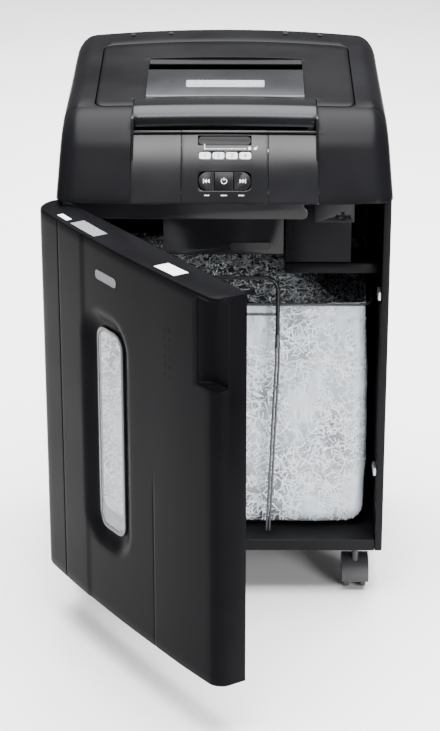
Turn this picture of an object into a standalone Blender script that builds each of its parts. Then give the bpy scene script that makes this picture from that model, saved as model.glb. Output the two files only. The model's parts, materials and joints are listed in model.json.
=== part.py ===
"""Office paper shredder on casters, with its door standing open. Metres, +Z up.

World frame: x = 0 on the centre line, y = 0 at the front edges of the side walls, z = 0 on the floor.
"""
import bpy
import bmesh
from math import cos, pi, radians, sin, sqrt
from mathutils import Matrix, Vector

# driving sizes
cabinet_width = 0.470
cabinet_depth = 0.385
cabinet_height = 0.555        # side walls, from the base's underside to the head's deck
wall = 0.011                  # side and back boards
base_board = 0.018
caster_height = 0.079
head_height = 0.150           # from the deck line to the crown of the head
head_overhang = 0.055         # how far the head's front foot stands in front of the walls
door_thickness = 0.046
door_bow = 0.010              # how far the door's middle bulges past its ends
door_open = 56.5             # how far the door stands open at rest, in degrees
head_wall = 0.003
door_wall = 0.003
gap = 0.0003                  # between pieces that touch
ease = 0.001                  # around pieces that move
cutter_centres = 0.032        # between the two cutter shafts
disc_radius = 0.020
cutter_core = 0.0105
disc_pitch = 0.016
wheel_radius = 0.0245
hood_width = 0.040

# derived sizes
half = cabinet_width / 2
floor_of_box = caster_height
deck = caster_height + cabinet_height
foot = deck + 0.002           # lower rim of the head
crown_top = deck + head_height
back = cabinet_depth + 0.012  # rear face of the head
head_half = half
fascia_low = Vector((0, -head_overhang, foot))
fascia_top = Vector((0, -0.001, foot + 0.099))
fascia_dir = (fascia_top - fascia_low).normalized()
fascia_out = Vector((0, -fascia_dir.z, fascia_dir.y))
fascia_half = 0.1305
panel_half = 0.0600
lid_half = 0.183
lid_front = 0.055
lid_back = 0.312
lid_swing_gap = 0.0022       # in front of the lid, where its rim swings out a little
handle_half = 0.128
door_low = caster_height + 0.002
door_high = deck - 0.006
door_end = half - 0.0005
hinge = Vector((-half + 0.0045, -0.008, 0))
door_inner = -0.003
shaft_z = deck + 0.030
cutter_y = 0.187
cutter_x = 0.1165             # inner faces of the bearing plates

parts = bpy.data.collections.new("paper_shredder")
cutters = bpy.data.collections.new("cutters")


def start():
    for o in list(bpy.data.objects):
        bpy.data.objects.remove(o, do_unlink=True)
    for c in (parts, cutters):
        bpy.context.scene.collection.children.link(c)


def paint(name, colour, rough, metal=0.0, alpha=1.0):
    m = bpy.data.materials.new(name)
    m.use_nodes = True
    b = m.node_tree.nodes["Principled BSDF"]
    b.inputs["Base Color"].default_value = (*colour, 1)
    b.inputs["Roughness"].default_value = rough
    b.inputs["Metallic"].default_value = metal
    b.inputs["Alpha"].default_value = alpha
    return m


def add(name, bm, colour=None, rough=0.5, metal=0.0, alpha=1.0, smooth=False):
    """Put a bmesh in the scene, as a part when it has a colour and as a cutter when it has none."""
    bmesh.ops.recalc_face_normals(bm, faces=bm.faces)
    me = bpy.data.meshes.new(name)
    bm.to_mesh(me)
    bm.free()
    o = bpy.data.objects.new(name, me)
    if colour is None:
        cutters.objects.link(o)
        o.hide_render = True
        o.display_type = "WIRE"
    else:
        parts.objects.link(o)
        me.materials.append(paint(name, colour, rough, metal, alpha))
        for p in me.polygons:
            p.use_smooth = smooth
    return o


def box_mesh(x0, x1, y0, y1, z0, z1):
    bm = bmesh.new()
    bmesh.ops.create_cube(bm, size=1)
    for v in bm.verts:
        v.co = Vector((x0 if v.co.x < 0 else x1, y0 if v.co.y < 0 else y1, z0 if v.co.z < 0 else z1))
    return bm


def extruded(outline, low, high, axis="Z"):
    """A prism: the outline is drawn square to the axis, in the order of the other two axes."""
    bm = bmesh.new()
    at = {"X": lambda a, b, c: (c, a, b), "Y": lambda a, b, c: (a, c, b), "Z": lambda a, b, c: (a, b, c)}[axis]
    face = bm.faces.new([bm.verts.new(at(a, b, low)) for a, b in outline])
    made = bmesh.ops.extrude_face_region(bm, geom=[face])["geom"]
    shift = Vector(at(0, 0, high - low))
    for v in [g for g in made if isinstance(g, bmesh.types.BMVert)]:
        v.co += shift
    return bm


def lofted(stations):
    """A closed solid through outlines with equal counts of points, one outline per station."""
    bm = bmesh.new()
    ring = [bm.verts.new(p) for p in stations[0]]
    bm.faces.new(ring)
    for outline in stations[1:]:
        edges = [bm.edges.get((a, b)) for a, b in zip(ring, ring[1:] + ring[:1])]
        made = set(bmesh.ops.extrude_edge_only(bm, edges=edges)["geom"])
        ring = [next(w for w in (e.other_vert(v) for e in v.link_edges) if w in made) for v in ring]
        for v, p in zip(ring, outline):
            v.co = Vector(p)
    bm.faces.new(ring)
    bmesh.ops.triangulate(bm, faces=bm.faces)
    bmesh.ops.dissolve_limit(bm, angle_limit=radians(0.02), verts=bm.verts, edges=bm.edges)
    return bm


def round_rect(x0, x1, y0, y1, r, steps=4):
    points = []
    for cx, cy, a in ((x1 - r, y1 - r, 0), (x0 + r, y1 - r, 90), (x0 + r, y0 + r, 180), (x1 - r, y0 + r, 270)):
        for i in range(steps + 1):
            t = radians(a + 90 * i / steps)
            points.append((cx + r * cos(t), cy + r * sin(t)))
    return points


def circle(cx, cy, r, n=16, turn=0.0):
    return [(cx + r * cos(2 * pi * i / n + turn), cy + r * sin(2 * pi * i / n + turn)) for i in range(n)]


def move(bm, m):
    bmesh.ops.transform(bm, matrix=m, verts=bm.verts)
    return bm


def bevel(o, width, segments=2, angle=40):
    b = o.modifiers.new("bevel", "BEVEL")
    b.width = width
    b.segments = segments
    b.limit_method = "ANGLE"
    b.angle_limit = radians(angle)
    return o


def cut(o, *others, how="DIFFERENCE"):
    """Cut the others out of o, or join them to it, live."""
    for c in others:
        b = o.modifiers.new("cut", "BOOLEAN")
        b.operation = how
        b.solver = "EXACT"
        b.object = c
    return o


def cutter(name, bm):
    return add(name, bm)


def centre_on(o, point):
    o.data.transform(Matrix.Translation(-Vector(point)))
    o.location = point
    return o


def spun(name, profile, steps, axis, colour, **look):
    """Turn a closed profile of (distance along the axis, radius) about that axis through the origin."""
    bm = bmesh.new()
    ring = [bm.verts.new((r, 0, a)) for a, r in profile]
    for i, v in enumerate(ring[:-1]):
        bm.edges.new((v, ring[i + 1]))
    if profile[0][1] > 0:
        bm.edges.new((ring[-1], ring[0]))
    me = bpy.data.meshes.new(name)
    bm.to_mesh(me)
    bm.free()
    o = bpy.data.objects.new(name, me)
    parts.objects.link(o)
    me.materials.append(paint(name, colour, look.get("rough", 0.5), look.get("metal", 0.0)))
    s = o.modifiers.new("screw", "SCREW")
    s.steps = s.render_steps = steps
    s.use_merge_vertices = True
    s.merge_threshold = 0.00002
    s.use_smooth_shade = True
    s.axis = "Z"
    o.rotation_euler = {"X": (0, pi / 2, 0), "Z": (0, 0, 0)}[axis]
    return o


def tube(name, points, radius, colour, closed=False, sides=2, **look):
    cu = bpy.data.curves.new(name, "CURVE")
    cu.dimensions = "3D"
    cu.bevel_depth = radius
    cu.bevel_resolution = sides
    cu.use_fill_caps = True
    sp = cu.splines.new("POLY")
    sp.points.add(len(points) - 1)
    for p, q in zip(sp.points, points):
        p.co = (*q, 1)
    sp.use_cyclic_u = closed
    o = bpy.data.objects.new(name + "_line", cu)
    bpy.context.scene.collection.objects.link(o)
    deps = bpy.context.evaluated_depsgraph_get()
    me = bpy.data.meshes.new_from_object(o.evaluated_get(deps))
    me.transform(o.matrix_world)
    bpy.data.objects.remove(o, do_unlink=True)
    bm = bmesh.new()
    bm.from_mesh(me)
    bmesh.ops.remove_doubles(bm, verts=bm.verts, dist=1e-6)
    return add(name, bm, colour, smooth=True, **look)


def bent(points, r, steps=4):
    """Round the inner corners of an open line."""
    out = [Vector(points[0])]
    for a, b, c in zip(points, points[1:], points[2:]):
        a, b, c = Vector(a), Vector(b), Vector(c)
        u, w = (a - b).normalized(), (c - b).normalized()
        for i in range(steps + 1):
            t = i / steps
            p, q = b + u * r * (1 - t), b + w * r * t
            out.append(p.lerp(q, t))
    return out + [Vector(points[-1])]


start()

# colours
board = (0.045, 0.045, 0.05)
black = (0.018, 0.018, 0.02)
shell = (0.035, 0.035, 0.038)
graphite = (0.07, 0.07, 0.075)
silver = (0.30, 0.30, 0.31)
steel = (0.55, 0.56, 0.58)
zinc = (0.42, 0.43, 0.45)
rubber = (0.03, 0.03, 0.03)
film = (0.62, 0.66, 0.72)
paper = (0.75, 0.75, 0.74)

# ---- cabinet ----------------------------------------------------------------------------------
for side, x in (("left", -half), ("right", half - wall)):
    o = add("cabinet_%s_panel" % side, box_mesh(x, x + wall, 0, cabinet_depth - wall - gap,
            floor_of_box, deck), board, 0.45)
    bevel(o, 0.001, 1)
back_y = cabinet_depth - wall
vent = [cutter("vent_%d" % i, box_mesh(-0.07, 0.07, back_y - 0.01, cabinet_depth + 0.01, z, z + 0.007))
        for i, z in enumerate((0.545, 0.565, 0.585))]
back_panel = add("cabinet_back_panel", box_mesh(-half, half, back_y, cabinet_depth, floor_of_box, deck),
                 board, 0.45)
cut(back_panel, *vent)
inner = half - wall - gap
base = add("cabinet_base", box_mesh(-inner, inner, 0.0, back_y - gap, floor_of_box,
           floor_of_box + base_board), board, 0.45)
bevel(base, 0.001, 1)

bar_low, bar_high = deck - 0.038, deck - gap
add("front_crossbar", extruded([(-inner, bar_low), (0.112, bar_low), (0.1165, bar_low + 0.003),
    (0.118, bar_low + 0.009), (0.1165, bar_low + 0.015), (0.112, bar_low + 0.018),
    (0.112, bar_high), (-inner, bar_high)], 0.004, 0.012, "Y"), graphite, 0.4)

for name, z in (("catch_plate_upper", 0.475), ("catch_plate_lower", 0.200)):
    o = add(name, box_mesh(inner - 0.0045, inner, 0.003, 0.030, z, z + 0.012), zinc, 0.3, 0.8)
    bevel(o, 0.0008, 1)

pin_r = 0.0022
for name, z, way in (("hinge_bracket_upper", door_high + 0.0015, -1), ("hinge_bracket_lower",
                     door_low - 0.0035, 1)):
    low, high = (z, z + 0.002)
    lug = [(hinge.x - 0.003, -0.012), (hinge.x + 0.004, -0.013), (-inner + 0.020, -0.0035),
           (-inner + 0.020, -gap), (hinge.x - 0.003, -gap)]
    o = add(name, extruded(lug, low, high), zinc, 0.3, 0.8)
    pin = cutter(name + "_pin", extruded(circle(hinge.x, hinge.y, pin_r, 12),
                 (low - 0.009) if way < 0 else low + 0.0002, (high - 0.0002) if way < 0 else high + 0.009))
    cut(o, pin, how="UNION")

# ---- bag, its frame and the shreds -----------------------------------------------------------
bag_half = 0.213
bag_front, bag_back = 0.034, 0.350
bag_low, bag_high = floor_of_box + base_board + 0.0035, 0.4560
rim_z = bag_high + 0.0045
rim = []
for cx, cy, a in ((bag_half - 0.02, bag_back - 0.02, 0), (-bag_half + 0.02, bag_back - 0.02, 90),
                  (-bag_half + 0.02, bag_front + 0.012, 180), (bag_half - 0.02, bag_front + 0.012, 270)):
    for i in range(4):
        t = radians(a + 30 * i)
        rim.append((cx + 0.02 * cos(t), cy + 0.02 * sin(t), rim_z))
tube("bag_rim_wire", rim, 0.0022, steel, closed=True, sides=1, rough=0.3, metal=0.9)
hoop = bent([(-0.064, 0.020, bag_low + 0.002), (-0.076, 0.020, 0.40), (-0.076, 0.020, 0.504),
             (0.076, 0.020, 0.504), (0.076, 0.020, 0.40), (0.064, 0.020, bag_low + 0.002)], 0.024)
tube("bag_hoop", hoop, 0.0034, graphite, sides=1, rough=0.4)


def bag_ring(z, bulge, inset):
    ring = []
    for a, b in round_rect(-bag_half + inset, bag_half - inset, bag_front + inset, bag_back - inset, 0.03, 3):
        sway = 0.003 * sin(a * 55 + z * 20) * bulge
        ring.append((a - bulge * 0.004 * (1 if a > 0 else -1), b + sway, z))
    return ring


levels = [(bag_low, 0.0, 0.012), (bag_low + 0.010, 0.2, 0.003), (0.17, 1.0, 0.001), (0.26, 0.6, 0.003),
          (0.35, 1.0, 0.002), (bag_high, 0.3, 0.001)]
film_wall = 0.0012
bag = add("waste_bag", lofted([bag_ring(z, b, i) for z, b, i in levels]), film, 0.35, alpha=0.6)
hollow = [(bag_low + film_wall, 0.0, 0.012 + film_wall)] + [
    (z, b, i + film_wall) for z, b, i in levels[1:-1]] + [
    (bag_high + 0.01, 0.3, 0.001 + film_wall)]
cut(bag, cutter("bag_hollow", lofted([bag_ring(z, b, i) for z, b, i in hollow])))

heap_rings = []
for z, s, lean in ((0.330, 0.96, 0.0), (0.400, 0.965, 0.0), (0.440, 0.955, 0.0), (0.472, 0.86, -0.004),
                   (0.493, 0.64, -0.012), (0.506, 0.34, -0.020)):
    mid_y = (bag_front + bag_back) / 2
    heap_rings.append([(a * s + lean, mid_y + (b - mid_y) * s + lean * 0.5, z + 0.004 * sin(a * 60 + b * 45)
                        * (1 if z > 0.45 else 0))
                       for a, b in round_rect(-bag_half + 0.006, bag_half - 0.006, bag_front + 0.006,
                                              bag_back - 0.006, 0.03, 3)])
add("shred_heap", lofted(heap_rings), paper, 0.8)

# ---- head ------------------------------------------------------------------------------------


def top_z(x, y):
    line = foot + 0.1085 + (y - 0.012) * (0.0395 / 0.353)
    return line - 0.011 * (x / head_half) ** 2 * min(1.0, max(0.0, (y + 0.06) / 0.3))


def head_ring(x, inset, drop=0.0):
    """Side view of the head at one x; inset shrinks it all round, drop lowers its foot."""
    edge = abs(x) / head_half
    turn = max(0.0, (edge - 0.93) / 0.07)
    soft = 0.016 * (1 - sqrt(max(0.0, 1 - turn * turn)))
    bow = 0.010 * edge * edge
    i = inset + soft
    fy, fz = fascia_out.y, fascia_out.z
    low = foot - drop
    points = [(-head_overhang + bow + i * 0.9, low),
              (-head_overhang + 0.006 + bow + i, foot + 0.012),
              (fascia_top.y + bow - fy * i, fascia_top.z - fz * i),
              (0.004 + bow + i * 0.6, top_z(x, 0.004) - 0.003 - i),
              (0.016 + bow + i * 0.3, top_z(x, 0.016) - i),
              (0.190, top_z(x, 0.190) - i), (0.330, top_z(x, 0.330) - i),
              (back - 0.030, top_z(x, back - 0.03) - i), (back - 0.010 - i * 0.5, top_z(x, back - 0.03) - 0.005 - i),
              (back - i, top_z(x, back - 0.03) - 0.018 - i), (back - i, low)]
    lean = 0.010 * edge
    return [(x - (1 if x > 0 else -1) * lean * max(0.0, (z - foot) / head_height), y, z) for y, z in points]


fractions = (-1, -0.985, -0.93, -0.78, -0.5, -0.2, 0.2, 0.5, 0.78, 0.93, 0.985, 1)
head = add("head_shell", lofted([head_ring(f * head_half, 0.0) for f in fractions]), shell, 0.4, smooth=False)
wall_f = 1 - head_wall / head_half
hollow = cutter("head_hollow", lofted([head_ring(f * head_half * wall_f, head_wall, 0.02) for f in fractions]))
lid_hole = cutter("lid_hole", extruded(round_rect(-lid_half - ease, lid_half + ease, lid_front - lid_swing_gap,
                  lid_back + ease, 0.006), foot + 0.06, crown_top + 0.05))
grip_hole = cutter("handle_hole", box_mesh(-handle_half - 0.0015, handle_half + 0.0015, -0.02,
                   lid_front + 0.01, fascia_top.z - 0.004, crown_top))
lean_m = Matrix.Translation(fascia_low) @ Matrix(((1, 0, 0, 0), (0, fascia_dir.y, fascia_out.y, 0),
                                                  (0, fascia_dir.z, fascia_out.z, 0), (0, 0, 0, 1)))
fascia_len = (fascia_top - fascia_low).length
fascia_hole = cutter("fascia_hole", move(box_mesh(-fascia_half - gap, fascia_half + gap, -0.03,
                     fascia_len - 0.0100, -0.012, 0.03), lean_m))
rear_windows = [cutter("rear_window_%d" % i, box_mesh(x0, x1, back - 0.02, back + 0.02, z0, z1))
              for i, (x0, x1, z0, z1) in enumerate(((0.1397, 0.1703, foot + 0.0177, foot + 0.0383),
                                                    (0.0997, 0.1223, foot + 0.0177, foot + 0.0383)))]
cut(head, hollow, lid_hole, grip_hole, fascia_hole, *rear_windows)

tray_half = head_half - head_wall - 0.0025
deck_plate = add("head_deck", extruded([(-tray_half, 0.002), (tray_half, 0.002), (tray_half, back - 0.026),
                 (tray_half - 0.016, back - 0.0065), (-tray_half + 0.016, back - 0.0065),
                 (-tray_half, back - 0.026)], deck + gap, deck + 0.0035), steel, 0.4, 0.6)
cut(deck_plate, cutter("deck_mouth", box_mesh(-cutter_x + 0.004, cutter_x - 0.004, cutter_y - 0.026,
    cutter_y + cutter_centres + 0.026, deck - 0.01, deck + 0.01)))


def fascia_piece(x0, x1):
    """A bowed cover strip, in the fascia's own plane: x, distance up the slope, distance out."""
    stations = []
    for k in range(5):
        x = x0 + (x1 - x0) * k / 4
        bow = -0.010 * (x / head_half) ** 2
        out = -bow * fascia_out.y
        top = fascia_len - 0.0106
        stations.append([(x, 0.0015, out), (x, top - 0.0015, out), (x, top, out - 0.0015), (x, top, out - 0.0045),
                         (x, 0.0015, out - 0.0045)])
    return move(lofted(stations), lean_m)


seam = 0.0006
fascia_left = add("fascia_left", fascia_piece(-fascia_half, -panel_half - seam), graphite, 0.35)
fascia_right = add("fascia_right", fascia_piece(panel_half + seam, fascia_half), graphite, 0.35)
control = add("control_panel", fascia_piece(-panel_half + seam, panel_half - seam), graphite, 0.35)

display_low, display_high = 0.0855, 0.0990
keys_low, keys_high = 0.0648, 0.0750
pill_low, pill_high = 0.0200, 0.0470
reach = 0.02


def in_panel(outline, low, high):
    return move(extruded(outline, low, high), lean_m)


pill = round_rect(-0.0368, 0.0368, pill_low, pill_high, 0.0134, 5)
display_outline = round_rect(-0.0370, 0.0370, display_low, display_high, 0.0064, 4)
cut(control, cutter("button_pill", in_panel(pill, -reach, reach)),
    cutter("display_hole", in_panel(display_outline, -reach, reach)))
add("display_window", in_panel(round_rect(-0.0367, 0.0367, display_low + gap, display_high - gap, 0.0062, 4),
    -0.0035, -0.0008), black, 0.08)
key_width = 0.0163
key_centres = (-0.0273, -0.0086, 0.0099, 0.0285)
for i, x in enumerate(key_centres):
    cut(control, cutter("key_hole_%d" % (i + 1), in_panel(round_rect(x - key_width / 2 - 0.0004,
        x + key_width / 2 + 0.0004, keys_low - 0.0004, keys_high + 0.0004, 0.0030, 2), -reach, reach)))
    s = (keys_low + keys_high) / 2
    o = add("pin_key_%d" % (i + 1), in_panel(round_rect(x - key_width / 2, x + key_width / 2, keys_low,
            keys_high, 0.0027, 2), -0.0052, 0.0004), silver, 0.5)
    centre_on(o, lean_m @ Vector((x, s, 0)))
splits = (("button_reverse", -0.0363, -0.0146), ("button_power", -0.0138, 0.0122), ("button_forward",
          0.0130, 0.0363))
for name, x0, x1 in splits:
    stem = in_panel(round_rect(-0.0363, 0.0363, pill_low + 0.0005, pill_high - 0.0005, 0.0130, 5),
                    -0.0062, 0.0003)
    o = add(name, stem, graphite, 0.5)
    cut(o, cutter(name + "_span", move(box_mesh(x0, x1, pill_low - 0.01, pill_high + 0.01, -0.03, 0.03),
        lean_m)), how="INTERSECT")
    centre_on(o, lean_m @ Vector(((x0 + x1) / 2, (pill_low + pill_high) / 2, 0)))

# paper tray under the lid
tray_floor = foot + 0.0600
tray_wide = 0.1155
tray = add("paper_tray", box_mesh(-tray_wide, tray_wide, lid_front + 0.004, lid_back - 0.006, tray_floor,
           tray_floor + 0.034), graphite, 0.45)
cut(tray, cutter("tray_space", box_mesh(-tray_wide + 0.0025, tray_wide - 0.0025, lid_front + 0.0065,
                 lid_back - 0.0085, tray_floor + 0.0025, tray_floor + 0.08)),
    cutter("tray_throat", box_mesh(-0.112, 0.112, cutter_y + 0.004, cutter_y + cutter_centres - 0.004,
                                   tray_floor - 0.01, tray_floor + 0.01)),
    cutter("roller_mouth", box_mesh(-0.095, 0.095, 0.0925, 0.1175, tray_floor - 0.01, tray_floor + 0.01)))

# bearing plates, cutters and gear train
rear_y = cutter_y + cutter_centres
roller_y, roller_z = 0.105, tray_floor - 0.0055
motor_y, motor_z = rear_y + 0.053, shaft_z + 0.0
shaft_r, bore_r = 0.0045, 0.0048
for side, s in (("left", -1), ("right", 1)):
    x0, x1 = sorted((s * cutter_x, s * (cutter_x + 0.003)))
    y1 = motor_y + 0.022 if s > 0 else rear_y + 0.026
    o = add("bearing_plate_" + side, box_mesh(x0, x1, 0.092, y1, deck + 0.0040, tray_floor - gap), steel, 0.35, 0.8)
    for k, (y, z, r) in enumerate(((cutter_y, shaft_z, bore_r), (rear_y, shaft_z, bore_r),
                                   (roller_y, roller_z, 0.0033))):
        cut(o, cutter("bore_%s_%d" % (side, k), extruded(circle(y, z, r), x0 - 0.01, x1 + 0.01, "X")))
    if s > 0:
        cut(o, cutter("motor_bore", extruded(circle(motor_y, motor_z, 0.0038), x0 - 0.01, x1 + 0.01, "X")),
            cutter("idler_bore", extruded(circle(rear_y + 0.028, shaft_z, 0.0033), x0 - 0.01, x1 + 0.01, "X")))


def cutter_profile(offset):
    tip = cutter_x + (0.0240 if offset == 0 else 0.0128)
    points = [(-cutter_x - 0.0050, 0), (-cutter_x - 0.0050, shaft_r), (-cutter_x + 0.001, shaft_r),
              (-cutter_x + 0.001, cutter_core)]
    x = -cutter_x + 0.0045 + offset
    while x + 0.0070 < cutter_x - 0.001:
        points += [(x, cutter_core), (x, disc_radius), (x + 0.0070, disc_radius), (x + 0.0070, cutter_core)]
        x += disc_pitch
    return points + [(cutter_x - 0.001, cutter_core), (cutter_x - 0.001, shaft_r), (tip, shaft_r), (tip, 0)]


for name, y, offset in (("cutter_front", cutter_y, 0), ("cutter_rear", rear_y, disc_pitch / 2)):
    o = spun(name, cutter_profile(offset)[::-1], 16, "X", steel, rough=0.3, metal=0.9)
    o.location = (0, y, shaft_z)
roller = spun("feed_roller", [(0.1225, 0), (0.1225, 0.0030), (0.0900, 0.0030), (0.0900, 0.0110), (0.0500, 0.0110),
              (0.0500, 0.0050), (0.0200, 0.0050), (0.0200, 0.0110), (-0.0200, 0.0110), (-0.0200, 0.0050),
              (-0.0500, 0.0050), (-0.0500, 0.0110), (-0.0900, 0.0110), (-0.0900, 0.0030), (-0.1225, 0.0030),
              (-0.1225, 0)], 16, "X", rubber, rough=0.8)
roller.location = (0, roller_y, roller_z)


def gear_outline(cy, cz, module, teeth, toward):
    """Plain trapezoid teeth with generous running room; one tooth centred on the angle given."""
    pitch_r = module * teeth / 2
    points = []
    for k in range(teeth):
        for da, r in ((-0.30, pitch_r - 1.15 * module), (-0.21, pitch_r), (-0.09, pitch_r + 0.8 * module),
                      (0.09, pitch_r + 0.8 * module), (0.21, pitch_r), (0.30, pitch_r - 1.15 * module)):
            t = toward + 2 * pi * (k + da) / teeth
            points.append((cy + r * cos(t), cz + r * sin(t)))
    return points


gear_x = cutter_x + 0.0045
cutter_teeth, cutter_module = 16, cutter_centres / 16
idler_y = rear_y + 0.028
pitch_step = 2 * pi / cutter_teeth


def gear(name, outline, x0, x1, holes, point, solid=()):
    o = add(name, extruded(outline, x0, x1, "X"), zinc, 0.35, 0.8)
    for k, (y, z, r) in enumerate(holes):
        cut(o, cutter("%s_hole_%d" % (name, k), extruded(circle(y, z, r), x0 - 0.01, x1 + 0.01, "X")))
    cut(o, *[cutter("%s_boss_%d" % (name, k), extruded(circle(y, z, r), a, b, "X"))
             for k, (y, z, r, a, b) in enumerate(solid)], how="UNION")
    return centre_on(o, point)


gear("gear_front", gear_outline(cutter_y, shaft_z, cutter_module, cutter_teeth, 0), gear_x, gear_x + 0.008,
     [(cutter_y, shaft_z, shaft_r + gap)], (gear_x, cutter_y, shaft_z))
gear("gear_rear", gear_outline(rear_y, shaft_z, cutter_module, cutter_teeth, pi + pitch_step / 2), gear_x,
     gear_x + 0.008, [(rear_y, shaft_z, shaft_r + gap)], (gear_x, rear_y, shaft_z))
small_teeth = 12
gear("reduction_gear", gear_outline(idler_y, shaft_z, cutter_module, small_teeth, pi), gear_x,
     gear_x + 0.0085, [], (gear_x, idler_y, shaft_z),
     [(idler_y, shaft_z, 0.0030, gear_x - 0.008, gear_x + 0.001)])
large_teeth, fine = 40, 0.001
wheel = cutter("reduction_wheel", extruded(gear_outline(idler_y, shaft_z, fine, large_teeth, 0), gear_x + 0.0083,
               gear_x + 0.0133, "X"))
cut(bpy.data.objects["reduction_gear"], wheel, how="UNION")
pinion_teeth = 10
gear("motor_pinion", gear_outline(motor_y, motor_z, fine, pinion_teeth, pi + pi / pinion_teeth), gear_x + 0.0083,
     gear_x + 0.0133, [], (gear_x, motor_y, motor_z),
     [(motor_y, motor_z, 0.0030, cutter_x - 0.012, gear_x + 0.0085)])
motor = spun("motor", [(0.1160, 0.0035), (0.1160, 0.0185), (0.0500, 0.0195), (0.0440, 0.0160), (0.0300, 0.0160),
             (0.0300, 0.0035)], 20, "X", graphite, rough=0.35, metal=0.7)
motor.location = (0, motor_y, motor_z)

# under the head
low_y = 0.030
cover = add("mechanism_cover", extruded([(low_y, 0.5365), (low_y, deck - 0.004), (low_y + 0.060, deck - 0.004),
            (low_y + 0.060, deck - 0.007), (low_y + 0.003, deck - 0.007), (low_y + 0.003, 0.5395),
            (low_y + 0.030, 0.5365), (low_y + 0.030, 0.5335), (low_y + 0.002, 0.5345)],
            -0.088, 0.0840, "X"), graphite, 0.4)
cut(cover, cutter("cover_hump", move(extruded(round_rect(0.006, 0.066, -0.006, 0.006, 0.005, 3), -0.004, 0.0015),
    Matrix.Translation((0, low_y, 0.5480)) @ Matrix.Rotation(pi / 2, 4, "X"))), how="UNION")
motor_box = add("motor_cover", box_mesh(0.0865, 0.1810, low_y, low_y + 0.085, 0.5235, deck - gap), shell, 0.45)
cut(motor_box, cutter("motor_cover_space", box_mesh(0.0895, 0.1780, low_y + 0.003, low_y + 0.082, 0.5265,
    deck + 0.02)))
bevel(motor_box, 0.002, 2)
ledge = add("shred_ledge", box_mesh(0.0865, 0.2200, low_y - 0.002, low_y + 0.070, 0.5065, 0.5230), shell, 0.4)
bevel(ledge, 0.003, 2)
lock = add("interlock_bracket", box_mesh(0.1270, 0.1830, 0.004, 0.0075, deck - 0.042, deck - gap), graphite, 0.4)
mid_z = deck - 0.0325
cut(lock, cutter("lock_slot", box_mesh(0.1640, 0.1685, -0.01, 0.02, mid_z - 0.006, mid_z + 0.006)),
    cutter("lock_bar", box_mesh(0.1600, 0.1725, -0.01, 0.02, mid_z - 0.0015, mid_z + 0.0015)),
    cutter("lock_hole_a", extruded(circle(0.1575, mid_z, 0.0022, 10), -0.01, 0.02, "Y")),
    cutter("lock_hole_b", extruded(circle(0.1750, mid_z, 0.0022, 10), -0.01, 0.02, "Y")))

# back of the head
inlet = add("power_inlet", box_mesh(0.1400, 0.1700, back - 0.016, back + 0.0012, foot + 0.018, foot + 0.038),
            black, 0.5)
cut(inlet, cutter("inlet_well", extruded([(0.1430, foot + 0.0205), (0.1670, foot + 0.0205), (0.1670, foot + 0.0305),
    (0.1625, foot + 0.0355), (0.1475, foot + 0.0355), (0.1430, foot + 0.0305)], back - 0.012, back + 0.01, "Y")))
rocker_z = foot + 0.028
frame_o = add("switch_frame", box_mesh(0.1000, 0.1220, back - 0.014, back + 0.0010, foot + 0.018, foot + 0.038),
              black, 0.5)
cut(frame_o, cutter("switch_well", box_mesh(0.1020, 0.1200, back - 0.011, back + 0.01, foot + 0.020, foot + 0.036)))
tilt = radians(7)
rocker = add("power_rocker", extruded([(back - 0.0070, rocker_z - 0.0065), (back + 0.0005, rocker_z - 0.0068),
             (back - 0.0006, rocker_z), (back + 0.0005, rocker_z + 0.0068), (back - 0.0070, rocker_z + 0.0065)],
             0.1025, 0.1195, "X"), black, 0.4)
centre_on(rocker, (0.1110, back - 0.0045, rocker_z))
rocker.data.transform(Matrix.Rotation(tilt, 4, "X"))

# ---- lid -------------------------------------------------------------------------------------


def lid_ring(x, y0, y1, thick, lift=0.0):
    ys = [y0 + 0.002, y0 + (y1 - y0) * 0.45, y1 - 0.002]
    upper = [(x, y, top_z(x, y) + lift) for y in ys]
    lower = [(x, y, top_z(x, y) - thick) for y in reversed(ys)]
    return [(x, y0, top_z(x, y0) - 0.002 + lift)] + upper + [(x, y1, top_z(x, y1) - 0.002 + lift)] + [
        (x, y1, top_z(x, y1) - thick)] + lower + [(x, y0, top_z(x, y0) - thick)]


lid_thick = 0.0105
lid_x = [-lid_half, -lid_half + 0.002, -lid_half + 0.005, -0.11, 0.0, 0.11, lid_half - 0.005, lid_half - 0.002,
         lid_half]
insets = [0.005, 0.0018, 0.0, 0.0, 0.0, 0.0, 0.0, 0.0018, 0.005]
lid = add("lid_shell", lofted([lid_ring(x, lid_front + i, lid_back - i, lid_thick)
                               for x, i in zip(lid_x, insets)]), shell, 0.4)
insert_half = 0.1125
panel_front, panel_back = 0.0800, 0.1850
slot_back = 0.2230
under = cutter("lid_under", lofted([[(x, lid_front + 0.003, foot + 0.04), (x, lid_front + 0.003,
               top_z(x, lid_front) - 0.003), (x, 0.19, top_z(x, 0.19) - 0.003), (x, lid_back - 0.016,
               top_z(x, lid_back - 0.016) - 0.003), (x, lid_back - 0.016, foot + 0.04)]
               for x in (-lid_half + 0.003, 0.0, lid_half - 0.003)]))
slot_top = crown_top + 0.02
slot_low = top_z(0, 0.21) - 0.035
slot = cutter("slot_mouth", extruded([(panel_back, slot_top), (slot_back, slot_top), (slot_back - 0.010, slot_low),
              (slot_back - 0.030, slot_low)], -insert_half, insert_half, "X"))
cut(lid, under, slot)
lid_axis = Vector((0, lid_back - 0.006, top_z(0, lid_back) - 0.0030))
centre_on(lid, lid_axis)

insert = add("lid_insert", lofted([[(x, panel_front, top_z(0, panel_front) + 0.0015), (x, panel_front + 0.002,
             top_z(0, panel_front) + 0.0035), (x, panel_back - 0.002, top_z(0, panel_back) + 0.0035),
             (x, panel_back, top_z(0, panel_back) + 0.0010), (x, panel_back, top_z(0, panel_back) + gap * 2),
             (x, panel_front, top_z(0, panel_front) + gap * 2)]
             for x in (-insert_half, -0.06, 0.0, 0.06, insert_half)]), silver, 0.3, 0.3)
centre_on(insert, lid_axis)

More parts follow.
